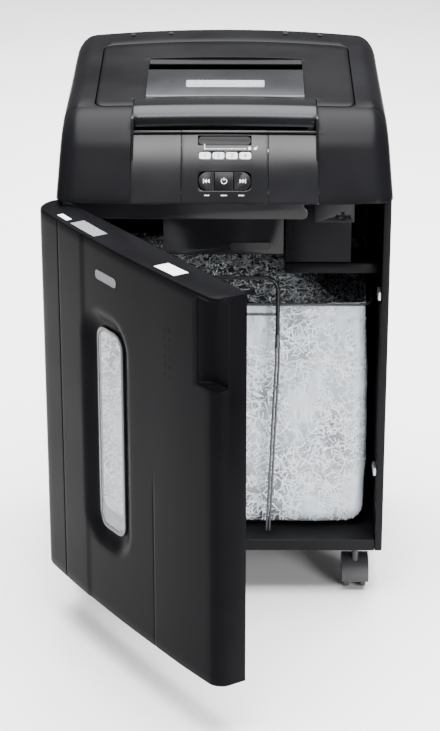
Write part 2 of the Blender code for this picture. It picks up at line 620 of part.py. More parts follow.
grip = [(-0.0060, -0.0140), (-0.0095, -0.0060), (-0.0060, 0.0025), (0.0020, 0.0080), (0.0160, 0.0110),
        (0.0560, 0.0120), (0.0600, 0.0100), (0.0600, 0.0040), (0.0150, 0.0020), (0.0015, -0.0030),
        (-0.0010, -0.0140)]
handle_y, handle_z = 0.0145, top_z(0, 0.0145) - 0.0005
handle_rings = []
for f in (-1, -0.98, -0.5, 0, 0.5, 0.98, 1):
    s = 0.96 if abs(f) == 1 else 1.0
    handle_rings.append([(f * handle_half, handle_y + 0.0045 * f * f + a * s,
                          handle_z + b * s + a * 0.11 - 0.003 * f * f + 0.0035) for a, b in grip])
handle = add("lid_handle", lofted(handle_rings), silver, 0.25, 0.5)
centre_on(handle, lid_axis)

press = add("press_plate", lofted([[(x, 0.100, top_z(0, 0.100) - 0.0230), (x, 0.178, top_z(0, 0.178) - 0.0230),
            (x, 0.178, top_z(0, 0.178) - 0.0200), (x, 0.100, top_z(0, 0.100) - 0.0200)]
            for x in (-0.090, 0.090)]), zinc, 0.4, 0.5)
post = cutter("press_post", extruded(circle(0.0, 0.139, 0.005, 10), top_z(0, 0.139) - 0.0215,
              top_z(0, 0.139) - 0.0125))
cut(press, post, how="UNION")
centre_on(press, (0, 0.139, top_z(0, 0.139) - 0.0215))

# ---- door: built shut, then swung open about its hinge -----------------------------------------
swing = (Matrix.Translation(hinge) @ Matrix.Rotation(-radians(door_open), 4, "Z")
         @ Matrix.Translation(-hinge))
door_mid = (door_low + door_high) / 2
hinge_point = Vector((hinge.x, hinge.y, door_mid))
hinge_round, free_round = 0.030, 0.016


def door_face(x):
    """Distance of the door's outer face in front of the walls."""
    y = door_inner - door_thickness - door_bow * (1 - (x / door_end) ** 2)
    from_left, from_right = x + door_end, door_end - x
    for d, r in ((from_left, hinge_round), (from_right, free_round)):
        if d < r:
            y += r - sqrt(max(0.0, r * r - (r - d) ** 2))
    return y


def door_ring(x, inset):
    y_in = door_inner
    y_out = door_face(x) + inset
    low, high = door_low + inset, door_high - inset
    c = 0.004
    return [(x, y_in, low), (x, y_out + c, low), (x, y_out, low + c), (x, y_out, high - c),
            (x, y_out + c, high), (x, y_in, high)]


stations = [-door_end, -door_end + 0.0022, -door_end + 0.009, -door_end + 0.019, -door_end + 0.030, -0.14, -0.07,
            0.0, 0.07, 0.14, door_end - 0.016, door_end - 0.008, door_end - 0.0022, door_end]
door = add("door_shell", move(lofted([door_ring(x, 0.0) for x in stations]), swing), shell, 0.4)
inner_end = door_end - door_wall
inner_x = [-inner_end, -inner_end + 0.0035, -inner_end + 0.0100, -inner_end + 0.0205, -inner_end + 0.034, -0.12,
           -0.05, 0.05, 0.12, inner_end - 0.0150, inner_end - 0.0065, inner_end - 0.0017, inner_end]
space = []
for x in inner_x:
    ring = door_ring(x, door_wall)
    space.append([(x, 0.01, ring[0][2])] + ring[1:5] + [(x, 0.01, ring[5][2])])
door_space = cutter("door_space", move(lofted(space), swing))


def on_door(s):
    return hinge.x + s


win = (on_door(0.166), on_door(0.236), 0.205, 0.505)
flare = (on_door(0.136), on_door(0.262), 0.178, 0.532)


def rect_ring(r, y, steps=4, radius=0.022):
    return [(a, y, b) for a, b in round_rect(r[0], r[1], r[2], r[3], radius, steps)]


depth_y = door_face(on_door(0.20)) + 0.0125
spread = 1.32


def widened(r, k):
    """The flare carried on past the face, k times as far from the window as the flare itself."""
    return tuple(w + (f - w) * k for f, w in zip(r, win))


window_well = cutter("window_well", move(lofted([rect_ring(widened(flare, spread), -0.085), rect_ring(
    widened(flare, spread), depth_y - 0.0125 * spread), rect_ring(win, depth_y)]), swing))
window_boss = cutter("window_boss", move(lofted([rect_ring((flare[0] - 0.003, flare[1] + 0.003, flare[2] - 0.003,
    flare[3] + 0.003), door_face(on_door(0.20)) + 0.0013, radius=0.025), rect_ring((win[0] - 0.004, win[1] + 0.004,
    win[2] - 0.004, win[3] + 0.004), depth_y + 0.003, radius=0.025)]), swing))
window_hole = cutter("window_hole", move(lofted([rect_ring((win[0] + 0.004, win[1] - 0.004, win[2] + 0.004,
    win[3] - 0.004), depth_y - 0.01, radius=0.018), rect_ring((win[0] + 0.004, win[1] - 0.004, win[2] + 0.004,
    win[3] - 0.004), 0.02, radius=0.018)]), swing))
pocket_x0, pocket_z0 = door_end - 0.046, door_high - 0.124
pocket = [(pocket_x0, -0.080), (pocket_x0 + 0.010, -0.036), (pocket_x0 + 0.018, -0.031), (door_end + 0.01, -0.029),
          (door_end + 0.01, -0.080)]
pocket_cut = cutter("grip_pocket", move(extruded(pocket, pocket_z0, door_high - 0.007), swing))
lining = [(pocket_x0 - 0.003, -0.054), (pocket_x0 + 0.007, -0.033), (pocket_x0 + 0.017, -0.028),
          (door_end - 0.001, -0.026), (door_end - 0.001, -0.036), (pocket_x0 + 0.004, -0.054)]
pocket_wall = cutter("grip_lining", move(extruded(lining, pocket_z0 - 0.003, door_high - 0.004), swing))
pin_seat = cutter("pin_seats", move(extruded(circle(hinge.x, hinge.y, 0.0042, 12), door_low + 0.001,
                  door_high - 0.001), swing))
pin_bore = cutter("pin_bores", move(extruded(circle(hinge.x, hinge.y, pin_r + gap, 12), door_low - 0.01,
                  door_high + 0.01), swing))
cut(door_space, window_boss, pocket_wall, pin_seat)
cut(door, door_space, window_well, window_hole, pocket_cut, pin_bore)
centre_on(door, hinge_point)

liner = (-door_end + door_wall + 0.012, door_end - door_wall - gap * 2, door_low + door_wall + gap * 2,
         door_high - door_wall - gap * 2)
inner_panel = add("door_inner_panel", move(lofted([rect_ring(liner, -0.0065, radius=0.004, steps=2),
                  rect_ring(liner, -0.0035, radius=0.004, steps=2)]), swing), graphite, 0.5)
cut(inner_panel, cutter("inner_window", move(lofted([rect_ring((win[0] - 0.006, win[1] + 0.006, win[2] - 0.006,
    win[3] + 0.006), -0.05, radius=0.022), rect_ring((win[0] - 0.006, win[1] + 0.006, win[2] - 0.006,
    win[3] + 0.006), 0.02, radius=0.022)]), swing)))
centre_on(inner_panel, hinge_point)
glass = (win[0] + 0.0005, win[1] - 0.0005, win[2] + 0.0005, win[3] - 0.0005)
trim = add("window_trim", move(lofted([rect_ring((glass[0], glass[1], glass[2], glass[3]), depth_y - 0.0028,
           radius=0.020), rect_ring(glass, depth_y - gap, radius=0.020)]), swing), steel, 0.2, 0.9)
cut(trim, cutter("trim_hole", move(lofted([rect_ring((win[0] + 0.006, win[1] - 0.006, win[2] + 0.006,
    win[3] - 0.006), depth_y - 0.02, radius=0.016), rect_ring((win[0] + 0.006, win[1] - 0.006, win[2] + 0.006,
    win[3] - 0.006), depth_y + 0.02, radius=0.016)]), swing)))
centre_on(trim, hinge_point)
pane = (win[0] + 0.0065, win[1] - 0.0065, win[2] + 0.0065, win[3] - 0.0065)
window = add("door_window", move(lofted([rect_ring(pane, depth_y - 0.0024, radius=0.0155),
             rect_ring(pane, depth_y - 0.0004, radius=0.0155)]), swing), black, 0.05, alpha=0.5)
centre_on(window, hinge_point)

# ---- casters ---------------------------------------------------------------------------------
trail = 0.012
stem_top = caster_height + 0.012
sockets = []
hood_r = 0.0283
caster_places = (("front_left", -1, 0.034, 0), ("front_right", 1, 0.034, 0), ("rear_left", -1,
                 cabinet_depth - 0.040, 35), ("rear_right", 1, cabinet_depth - 0.040, 90))
for name, s, y, turn in caster_places:
    pivot = Vector((s * (half - 0.0375), y, 0))
    place = Matrix.Translation(pivot) @ Matrix.Rotation(radians(turn), 4, "Z")
    axle = Vector((0, trail, wheel_radius))
    outline = [(axle.y + hood_r * cos(t), axle.z + hood_r * sin(t)) for t in
               [radians(a) for a in range(-14, 195, 16)]]
    hood = add("caster_hood_" + name, move(extruded([(a, b) for a, b in outline], -hood_width / 2, hood_width / 2,
               "X"), place), graphite, 0.4)
    stem = cutter("stem_" + name, move(extruded(circle(0, 0, 0.0045, 12), axle.z + 0.016, stem_top), place))
    wells = [cutter("wheel_well_%s_%d" % (name, k), move(extruded(circle(axle.y, axle.z, 0.0262, 20), x0, x1, "X"),
             place)) for k, (x0, x1) in enumerate(((-0.0182, -0.0070), (0.0070, 0.0182)))]
    bore = cutter("axle_bore_" + name, move(extruded(circle(axle.y, axle.z, 0.0043, 12), -0.0175, 0.0175, "X"),
                  place))
    cut(hood, stem, how="UNION")
    sockets.append(cutter("stem_socket_" + name, move(extruded(circle(0, 0, 0.0055, 12), caster_height - 0.01,
                   caster_height + 0.014), place)))
    cut(hood, *wells, bore)
    centre_on(hood, pivot)
    wheel_o = spun("caster_wheel_" + name, [(0.0172, 0), (0.0172, 0.0100), (0.0164, 0.0225), (0.0155,
                   wheel_radius), (0.0092, wheel_radius), (0.0080, 0.0225), (0.0080, 0.0040), (-0.0080, 0.0040),
                   (-0.0080, 0.0225), (-0.0092, wheel_radius), (-0.0155, wheel_radius), (-0.0164, 0.0225),
                   (-0.0172, 0.0100), (-0.0172, 0)], 20, "X", rubber, rough=0.6)
    wheel_o.matrix_world = (place @ Matrix.Translation(axle) @ Matrix.Rotation(pi / 2, 4, "Y"))
cut(base, *sockets)

# ---- the frame's origin lies on the floor under the middle of the whole object's box ------------------
centre_shift = Vector((0.010, 0.004, 0))
for o in bpy.data.objects:
    o.location += centre_shift
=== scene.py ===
import json
import math

import bpy
import numpy as np
from mathutils import Matrix, Vector, noise


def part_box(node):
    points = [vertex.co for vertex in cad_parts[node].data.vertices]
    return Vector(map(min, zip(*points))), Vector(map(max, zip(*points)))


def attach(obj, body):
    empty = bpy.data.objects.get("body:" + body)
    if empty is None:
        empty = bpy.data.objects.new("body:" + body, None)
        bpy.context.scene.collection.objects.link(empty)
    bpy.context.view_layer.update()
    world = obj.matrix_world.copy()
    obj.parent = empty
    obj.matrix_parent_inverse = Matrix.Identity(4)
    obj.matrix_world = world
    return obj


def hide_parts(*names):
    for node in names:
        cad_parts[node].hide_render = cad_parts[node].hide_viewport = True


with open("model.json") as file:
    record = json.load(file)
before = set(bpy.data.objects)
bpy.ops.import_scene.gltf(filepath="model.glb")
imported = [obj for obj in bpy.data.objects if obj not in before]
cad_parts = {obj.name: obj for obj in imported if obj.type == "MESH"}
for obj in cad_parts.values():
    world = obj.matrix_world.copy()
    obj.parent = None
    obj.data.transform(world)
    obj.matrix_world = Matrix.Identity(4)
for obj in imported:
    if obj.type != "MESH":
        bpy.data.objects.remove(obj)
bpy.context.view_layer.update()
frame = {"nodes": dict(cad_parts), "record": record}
nodes, record = frame["nodes"], frame["record"]
bodyOf = {n: b for b, ns in record["behaviour"]["bodies"].items() for n in ns}
slotOf = {s["node"]: s["material_slot"] for s in record["subparts"]}

# the cabinet's own centre line and the front edges of its side walls
leftWall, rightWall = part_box("cabinet_left_panel"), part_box("cabinet_right_panel")
midX, frontY = (leftWall[0][0] + rightWall[1][0]) / 2, leftWall[0][1]
half = (rightWall[1][0] - leftWall[0][0]) / 2
home = Vector((midX, frontY, 0))
foot = 0.636  # height of the head's lower rim


# helpers
def useOnly(piece):
    bpy.ops.object.select_all(action="DESELECT")
    piece.select_set(True)
    bpy.context.view_layer.objects.active = piece


def applyModifiers(piece):
    useOnly(piece)
    for m in list(piece.modifiers):
        bpy.ops.object.modifier_apply(modifier=m.name)


def smooth(piece, angle=30):
    useOnly(piece)
    bpy.ops.object.shade_smooth_by_angle(angle=math.radians(angle))


def addModifier(piece, kind, **values):
    m = piece.modifiers.new(kind.title(), kind)
    for key, value in values.items():
        setattr(m, key, value)
    return m


def roundEdges(piece, width, segments=3, angle=28):
    addModifier(piece, "BEVEL", width=width, segments=segments, limit_method="ANGLE",
                angle_limit=math.radians(angle), use_clamp_overlap=True)


def finishPiece(piece, body, material, slotName, *replaced):
    applyModifiers(piece)
    piece.data.materials.clear()
    piece.data.materials.append(material)
    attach(piece, body)
    if replaced:
        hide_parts(*replaced)
    return piece


def soften(piece, width, segments=2, angle=50, smoothAngle=35):
    roundEdges(piece, width, segments, angle)
    applyModifiers(piece)
    smooth(piece, smoothAngle)


def thicken(piece, thickness):
    addModifier(piece, "SOLIDIFY", thickness=thickness, offset=-1)
    applyModifiers(piece)


def turnOutward(piece):
    useOnly(piece)
    bpy.ops.object.mode_set(mode="EDIT")
    bpy.ops.mesh.select_all(action="SELECT")
    bpy.ops.mesh.normals_make_consistent(inside=False)
    bpy.ops.object.mode_set(mode="OBJECT")


def fillOver(piece, chosen):
    useOnly(piece)
    for part in (piece.data.vertices, piece.data.edges, piece.data.polygons):
        part.foreach_set("select", [False] * len(part))
    for k in chosen:
        piece.data.vertices[k].select = True
    bpy.ops.object.mode_set(mode="EDIT")
    bpy.ops.mesh.select_mode(type="VERT")
    bpy.ops.mesh.edge_face_add()
    bpy.ops.object.mode_set(mode="OBJECT")


def block(name, low, high, width=0.0, segments=3):
    bpy.ops.object.select_all(action="DESELECT")
    centre = [(a + b) / 2 for a, b in zip(low, high)]
    bpy.ops.mesh.primitive_cube_add(size=1, location=Vector(centre) + home)
    piece = bpy.context.object
    piece.name = name
    piece.scale = [b - a for a, b in zip(low, high)]
    bpy.ops.object.transform_apply(location=True, rotation=True, scale=True)
    if width:
        roundEdges(piece, width, segments)
    return piece


def loft(name, rings, capEnds=True, closed=False):
    bpy.ops.object.select_all(action="DESELECT")
    across, along = len(rings) - 1, len(rings[0]) - 1
    bpy.ops.mesh.primitive_grid_add(x_subdivisions=across, y_subdivisions=along, size=1)
    piece = bpy.context.object
    piece.name = name
    ends = {0: [], across: []}
    for v in piece.data.vertices:
        i, j = round((v.co.x + 0.5) * across), round((v.co.y + 0.5) * along)
        v.co = Vector(rings[i][j]) + home
        if i in ends:
            ends[i].append(v.index)
    if capEnds:
        for group in ends.values():
            fillOver(piece, group)
    bpy.ops.object.mode_set(mode="EDIT")
    bpy.ops.mesh.select_all(action="SELECT")
    if closed:
        bpy.ops.mesh.remove_doubles(threshold=0.00001)
    bpy.ops.mesh.normals_make_consistent(inside=False)
    bpy.ops.object.mode_set(mode="OBJECT")
    return piece


def plate(name, outline, thickness, place=Matrix()):
    bpy.ops.object.select_all(action="DESELECT")
    bpy.ops.mesh.primitive_circle_add(vertices=len(outline), radius=1, fill_type="NGON")
    piece = bpy.context.object
    piece.name = name
    for v, p in zip(piece.data.vertices, outline):
        v.co = (p[0], p[1], 0)
    bpy.ops.object.mode_set(mode="EDIT")
    bpy.ops.mesh.select_all(action="SELECT")
    bpy.ops.mesh.normals_make_consistent(inside=False)
    bpy.ops.mesh.extrude_region_move(TRANSFORM_OT_translate={"value": (0, 0, thickness)})
    bpy.ops.mesh.select_all(action="SELECT")
    bpy.ops.mesh.normals_make_consistent(inside=False)
    bpy.ops.object.mode_set(mode="OBJECT")
    piece.data.transform(place)
    if place.determinant() < 0:
        piece.data.flip_normals()
    return piece


def subtract(piece, *tools, solver="EXACT"):
    for tool in tools:
        addModifier(piece, "BOOLEAN", operation="DIFFERENCE", object=tool, solver=solver)
        applyModifiers(piece)
        bpy.data.objects.remove(tool)


def join(name, pieces):
    bpy.ops.object.select_all(action="DESELECT")
    for p in pieces:
        applyModifiers(p)
    bpy.ops.object.select_all(action="DESELECT")
    for p in pieces:
        p.select_set(True)
    bpy.context.view_layer.objects.active = pieces[0]
    bpy.ops.object.join()
    pieces[0].name = name
    return pieces[0]


def roundedRect(x0, x1, y0, y1, r, steps=4):
    points = []
    for cx, cy, start in ((x1 - r, y1 - r, 0), (x0 + r, y1 - r, 90), (x0 + r, y0 + r, 180),
                          (x1 - r, y0 + r, 270)):
        for k in range(steps + 1):
            a = math.radians(start + 90 * k / steps)
            points.append((cx + r * math.cos(a), cy + r * math.sin(a)))
    return points


def eased(points, radius, steps=4):
    points = [Vector(p) for p in points]
    line = [points[0]]
    for a, b, c in zip(points, points[1:], points[2:]):
        t = min(radius, (a - b).length * 0.45, (c - b).length * 0.45)
        p, q = b + (a - b).normalized() * t, b + (c - b).normalized() * t
        for k in range(steps + 1):
            u = k / steps
            line.append(p * (1 - u) ** 2 + b * 2 * u * (1 - u) + q * u * u)
    return line + [points[-1]]


def refined(node, material, width=0.0008, segments=2, angle=28, sagged=False):
    piece = bpy.data.objects.new(node + "Look", nodes[node].data.copy())
    bpy.context.collection.objects.link(piece)
    useOnly(piece)
    bpy.ops.object.mode_set(mode="EDIT")
    bpy.ops.mesh.select_all(action="SELECT")
    bpy.ops.mesh.remove_doubles(threshold=0.00001)
    bpy.ops.mesh.dissolve_limited(angle_limit=math.radians(0.3))
    bpy.ops.object.mode_set(mode="OBJECT")
    if width:
        roundEdges(piece, width, segments, angle)
    applyModifiers(piece)
    if sagged:
        sagSlope(piece)
    smooth(piece, angle)
    return finishPiece(piece, bodyOf[node], material, slotOf[node], node)


fasciaLow, fasciaTop = Vector((0, -0.055, foot)), Vector((0, -0.001, foot + 0.099))
upSlope = (fasciaTop - fasciaLow).normalized()
outward = Vector((0, -upSlope.z, upSlope.y))


sagValues = dict(depth=0.0085, start=0.02, run=0.084,
                 power=2.2)  # how the front curves back towards its top


def sagAt(s):
    return sagValues["depth"] * (max(0.0, s - sagValues["start"]) / sagValues["run"]) ** sagValues["power"]


def sagSlope(piece):
    for v in piece.data.vertices:
        v.co -= outward * sagAt((v.co - home - fasciaLow).dot(upSlope))
    return piece


# one finish for each material slot, with a few more for pieces that need their own
def newMaterial(name):
    m = bpy.data.materials.new(name)
    m.use_nodes = True
    return m, m.node_tree.nodes, m.node_tree.links, m.node_tree.nodes["Principled BSDF"]


def noiseNode(n, l, coordinate, scale, detail=4, stretch=None):
    texture = n.new("ShaderNodeTexNoise")
    texture.inputs["Scale"].default_value = scale
    texture.inputs["Detail"].default_value = detail
    if stretch:
        mapping = n.new("ShaderNodeMapping")
        mapping.inputs["Scale"].default_value = stretch
        l.new(coordinate, mapping.inputs["Vector"])
        coordinate = mapping.outputs["Vector"]
    l.new(coordinate, texture.inputs["Vector"])
    return texture.outputs["Fac"]


def ramp(n, l, factor, stops):
    node = n.new("ShaderNodeValToRGB")
    while len(node.color_ramp.elements) < len(stops):
        node.color_ramp.elements.new(0.5)
    for e, (place, colour) in zip(node.color_ramp.elements, stops):
        e.position, e.color = place, tuple(colour) + (1,)
    l.new(factor, node.inputs["Fac"])
    return node.outputs["Color"]


def spread(n, l, factor, low, high):
    node = n.new("ShaderNodeMapRange")
    node.inputs["From Min"].default_value, node.inputs["From Max"].default_value = 0.3, 0.7
    node.inputs["To Min"].default_value, node.inputs["To Max"].default_value = low, high
    l.new(factor, node.inputs["Value"])
    return node.outputs["Result"]


def bumpNode(n, l, height, strength, distance):
    node = n.new("ShaderNodeBump")
    node.inputs["Strength"].default_value, node.inputs["Distance"].default_value = strength, distance
    l.new(height, node.inputs["Height"])
    return node


def surfaceMaterial(name, dark, light, rough, metal=0.0, mottle=9, grain=1400, bump=0.25, depth=0.0002,
                    stretch=None, coat=0.0, coatRough=0.2, specular=0.5, swing=0.05):
    m, n, l, shader = newMaterial(name)
    where = n.new("ShaderNodeTexCoord").outputs["Object"]
    broad = noiseNode(n, l, where, mottle, 5)
    fine = noiseNode(n, l, where, grain, 2, stretch)
    l.new(ramp(n, l, broad, ((0.3, dark), (0.7, light))), shader.inputs["Base Color"])
    l.new(spread(n, l, fine if stretch else broad, rough - swing, rough + swing),
          shader.inputs["Roughness"])
    l.new(bumpNode(n, l, fine, bump, depth).outputs["Normal"], shader.inputs["Normal"])
    shader.inputs["Metallic"].default_value = metal
    shader.inputs["Coat Weight"].default_value = coat
    shader.inputs["Coat Roughness"].default_value = coatRough
    shader.inputs["Specular IOR Level"].default_value = specular
    return m


finishes = {
    "black_shell": dict(dark=(0.0034, 0.0034, 0.0042), light=(0.0052, 0.0052, 0.0062), rough=0.30,
                        grain=1500, bump=0.2,
                        specular=0.055),
    "laminated_board": dict(dark=(0.0034, 0.0034, 0.004), light=(0.0055, 0.0055, 0.0064), rough=0.42,
                            grain=700, bump=0.3,
                            specular=0.08),
    "graphite_plastic": dict(dark=(0.0050, 0.0050, 0.0060), light=(0.0072, 0.0072, 0.0084), rough=0.19,
                             bump=0.08,
                             specular=0.19),
    "silver_plastic": dict(dark=(0.027, 0.0275, 0.032), light=(0.037, 0.038, 0.043), rough=0.26,
                           metal=0.7, bump=0.06),
    "door_black": dict(dark=(0.0024, 0.0024, 0.0030), light=(0.0038, 0.0038, 0.0046), rough=0.34,
                       grain=1500, bump=0.2,
                       specular=0.018),
    "grip_metal": dict(dark=(0.0105, 0.0108, 0.0125), light=(0.0150, 0.0155, 0.0175), rough=0.20,
                       metal=0.6, bump=0.04,
                       mottle=4, specular=0.3),
    "button_grey": dict(dark=(0.0035, 0.0035, 0.004), light=(0.0055, 0.0055, 0.006), rough=0.32,
                        bump=0.1, specular=0.12),
    "key_white": dict(dark=(0.48, 0.49, 0.52), light=(0.58, 0.59, 0.62), rough=0.38, bump=0.1),
    "black_plastic": dict(dark=(0.0045, 0.0045, 0.0055), light=(0.0075, 0.0075, 0.0085), rough=0.45,
                          bump=0.3, specular=0.15),
    "sheet_steel": dict(dark=(0.18, 0.18, 0.185), light=(0.26, 0.26, 0.27), rough=0.38, metal=1.0,
                        grain=220,
                        stretch=(1, 12, 12), bump=0.1),
    "cutter_steel": dict(dark=(0.22, 0.22, 0.23), light=(0.34, 0.34, 0.35), rough=0.28, metal=1.0,
                         grain=300,
                         stretch=(14, 1, 1), bump=0.12),
    "gear_steel": dict(dark=(0.20, 0.195, 0.19), light=(0.30, 0.29, 0.28), rough=0.34, metal=1.0,
                       grain=400, bump=0.12),
    "motor_case": dict(dark=(0.05, 0.052, 0.056), light=(0.08, 0.082, 0.086), rough=0.42, metal=0.8,
                       bump=0.2),
    "roller_rubber": dict(dark=(0.018, 0.018, 0.018), light=(0.028, 0.028, 0.028), rough=0.75,
                          grain=900, bump=0.5),
    "zinc_plate": dict(dark=(0.42, 0.43, 0.45), light=(0.56, 0.57, 0.59), rough=0.36, metal=0.9,
                       mottle=60, bump=0.1),
    "rim_wire": dict(dark=(0.05, 0.051, 0.056), light=(0.08, 0.081, 0.088), rough=0.30, metal=0.85,
                     bump=0.1),
    "wheel_tread": dict(dark=(0.016, 0.016, 0.018), light=(0.024, 0.024, 0.027), rough=0.55, grain=700,
                        bump=0.35),
    "bright_trim": dict(dark=(0.020, 0.020, 0.023), light=(0.032, 0.032, 0.036), rough=0.16, metal=0.3,
                        bump=0.03),
}
finish = {slot: surfaceMaterial(slot, **values) for slot, values in finishes.items()}


def glassMaterial(name, colour, alpha, rough, specular):
    m, n, l, shader = newMaterial(name)
    where = n.new("ShaderNodeTexCoord").outputs["Object"]
    smudge = noiseNode(n, l, where, 26, 4)
    l.new(ramp(n, l, smudge, ((0.3, [c * 0.8 for c in colour]), (0.7, colour))),
          shader.inputs["Base Color"])
    l.new(spread(n, l, smudge, rough, rough + 0.06), shader.inputs["Roughness"])
    shader.inputs["Alpha"].default_value = alpha
    shader.inputs["Specular IOR Level"].default_value = specular
    return m


finish["display_glass"] = glassMaterial("display_glass", (0.002, 0.002, 0.003), 1.0, 0.10, 0.08)
finish["door_glass"] = glassMaterial("door_glass", (0.72, 0.77, 0.82), 0.22, 0.05, 0.3)
print("materials ready")


# head cover, with holes for the lid, the handle, the front pieces and the rear sockets
def crownZ(x, y):
    rise = foot + 0.1085 + (y - 0.012) * (0.0395 / 0.353)
    return rise - 0.011 * (x / half) ** 2 * min(1.0, max(0.0, (y + 0.06) / 0.3))


headValues = dict(overhang=0.055, bow=0.010, lean=0.010, sideRound=0.027, height=0.148, back=0.397,
                  wall=0.003, shoulder=0.046, backRound=0.022)


def roundIn(edge, r):
    turn = max(0.0, (edge - (1 - r / half)) / (r / half))
    return r * (1 - math.sqrt(max(0.0, 1 - turn * turn)))


def headRing(x):
    h = headValues
    edge = abs(x) / half
    i = roundIn(edge, h["sideRound"])
    bow, back = h["bow"] * edge * edge, h["back"]
    low = (-h["overhang"] + bow + i * 0.9, foot)
    knee = (-h["overhang"] + 0.005 + bow + i, foot + 0.010)
    brow = (0.005 + bow + i * 0.6, crownZ(x, 0.005) - i)
    line = [Vector((x, *low))] + eased([(x, *low), (x, *knee), (x, *brow)], 0.004, 3)[1:-1]
    line += eased([(x, *knee), (x, *brow), (x, 0.130, crownZ(x, 0.130) - i)], h["shoulder"], 14)[1:-1]
    top = [(x, y, crownZ(x, y) - i) for y in (0.060, 0.095, 0.130, 0.165, 0.2, 0.235, 0.27, 0.305, 0.335)]
    line += [Vector(p) for p in top]
    line += eased([(x, 0.335, crownZ(x, 0.335) - i), (x, back - i * 0.8, crownZ(x, 0.36) - 0.002 - i),
                   (x, back - i * 0.8, foot)], h["backRound"], 6)[1:]
    sign = 1 if x > 0 else -1
    return [(p.x - sign * h["lean"] * edge * max(0.0, (p.z - foot) / h["height"]), p.y, p.z)
            for p in line]


middle = [k / 14 * 0.88 for k in range(-14, 15)]
ends = [0.905, 0.925, 0.944, 0.96, 0.973, 0.984, 0.992, 0.9975, 1.0]
head = loft("headCover", [headRing(f * half) for f in [-e for e in reversed(ends)] + middle + ends])
thicken(head, headValues["wall"])
lidValues = dict(thick=0.0026, half=0.183, front=0.055, back=0.312, corner=0.016, rim=0.0105, seam=0.0014)
lv = lidValues
lidHole = plate("lidHoleTool", roundedRect(-lv["half"] - lv["seam"], lv["half"] + lv["seam"],
                                           lv["front"] - 0.0022,
                lv["back"] + lv["seam"], lv["corner"], 6), 0.16,
                Matrix.Translation(home + Vector((0, 0, foot + 0.06))))
gripHole = block("gripHoleTool", (-0.1295, -0.06, foot + 0.088), (0.1295, 0.065, foot + 0.2))
onSlope = Matrix.Translation(fasciaLow + home) @ Matrix(((1, 0, 0, 0), (0, upSlope.y, outward.y, 0),
                                                        (0, upSlope.z, outward.z, 0), (0, 0, 0, 1)))
fasciaHole = plate("fasciaHoleTool", roundedRect(-0.1307, 0.1307, -0.03, 0.1028, 0.0008, 2), 0.050,
                   onSlope @ Matrix.Translation((0, 0, -0.020)))
inletHole = block("inletHoleTool", (0.1397, 0.350, foot + 0.0177), (0.1703, 0.417, foot + 0.0383))
switchHole = block("switchHoleTool", (0.0997, 0.350, foot + 0.0177), (0.1223, 0.417, foot + 0.0383))
subtract(head, lidHole, gripHole, fasciaHole, inletHole, switchHole)
soften(head, 0.0008)
finishPiece(head, "cabinet", finish["black_shell"], "black_shell", "head_shell")

# cheeks close the sides of the raised middle, between its cover strips and the shoulders
cheekValues = dict(Left=-0.1303, Right=0.1268, thick=0.0035, behind=0.0045, back=0.053)
sideways = Matrix(((0, 0, 1, 0), (1, 0, 0, 0), (0, 1, 0, 0),
                   (0, 0, 0, 1)))  # an outline in y and z, thick along x
for side in ("Left", "Right"):
    cv = cheekValues
    profile = [fasciaLow - outward * cv["behind"] + upSlope * 0.001,
               fasciaLow - outward * cv["behind"] + upSlope * 0.1022,
               Vector((0, 0.006, crownZ(0.13, 0.006) - 0.001)),
               Vector((0, cv["back"], crownZ(0.13, cv["back"]) + 0.0008)),
               Vector((0, cv["back"], foot + 0.06)),
               fasciaLow - outward * 0.030 + upSlope * 0.012]
    cheek = plate("fasciaCheek" + side, [(p.y, p.z) for p in profile], cv["thick"],
                  Matrix.Translation(home + Vector((cv[side], 0, 0))) @ sideways)
    soften(cheek, 0.0006, 2, 28, 30)
    finishPiece(cheek, "cabinet", finish["graphite_plastic"], "graphite_plastic")
print("head done")


# lid cover, with one hole for the paper slot, the insert and the handle
def lidRing(x):
    rise, fall, soft = 0.0022, 0.0006, 0.0005  # the rounding of the lid's rim
    turn = max(0.0, (abs(x) - (lv["half"] - lv["corner"])) / lv["corner"])
    inset = lv["corner"] * (1 - math.sqrt(max(0.0, 1 - turn * turn)))
    y0, y1 = lv["front"] + inset, lv["back"] - inset
    edge = 0.0016 * min(1.0, max(0.0, (abs(x) - lv["half"] + 0.004) / 0.004)) ** 2
    top = [(x, y0 + (y1 - y0) * f, crownZ(x, y0 + (y1 - y0) * f) - edge)
           for f in [k / 16 for k in range(17)]]
    top[0], top[-1] = (x, y0 + 0.0018, top[0][2]), (x, y1 - 0.0018, top[-1][2])
    z0, z1 = crownZ(x, y0), crownZ(x, y1)
    return ([(x, y0, z0 - lv["rim"]), (x, y0, z0 - rise), (x, y0 + soft, z0 - fall - edge)] + top
            + [(x, y1 - soft, z1 - fall - edge), (x, y1, z1 - rise), (x, y1, z1 - lv["rim"])])


cornerTurns = (0, 18, 36, 52, 66, 78, 85, 90)
lidX = [lv["half"] - lv["corner"] * (1 - math.sin(math.radians(a))) for a in cornerTurns]
lidStations = [-x for x in reversed(lidX)] + [k / 10 * 0.160 for k in range(-10, 11)] + lidX
lid = loft("lidCover", [lidRing(x) for x in lidStations])
thicken(lid, lv["thick"])
slotOutline = [(-0.1295, 0.040), (0.1295, 0.040), (0.1295, 0.0805), (0.1125, 0.0805),
               (0.1125, 0.2460), (-0.1125, 0.2460), (-0.1125, 0.0805), (-0.1295, 0.0805)]
slotHole = plate("slotTool", slotOutline, 0.2, Matrix.Translation(home + Vector((0, 0, foot + 0.06))))
subtract(lid, slotHole, solver="MANIFOLD")
soften(lid, 0.0007)
finishPiece(lid, "lid", finish["black_shell"], "black_shell", "lid_shell")

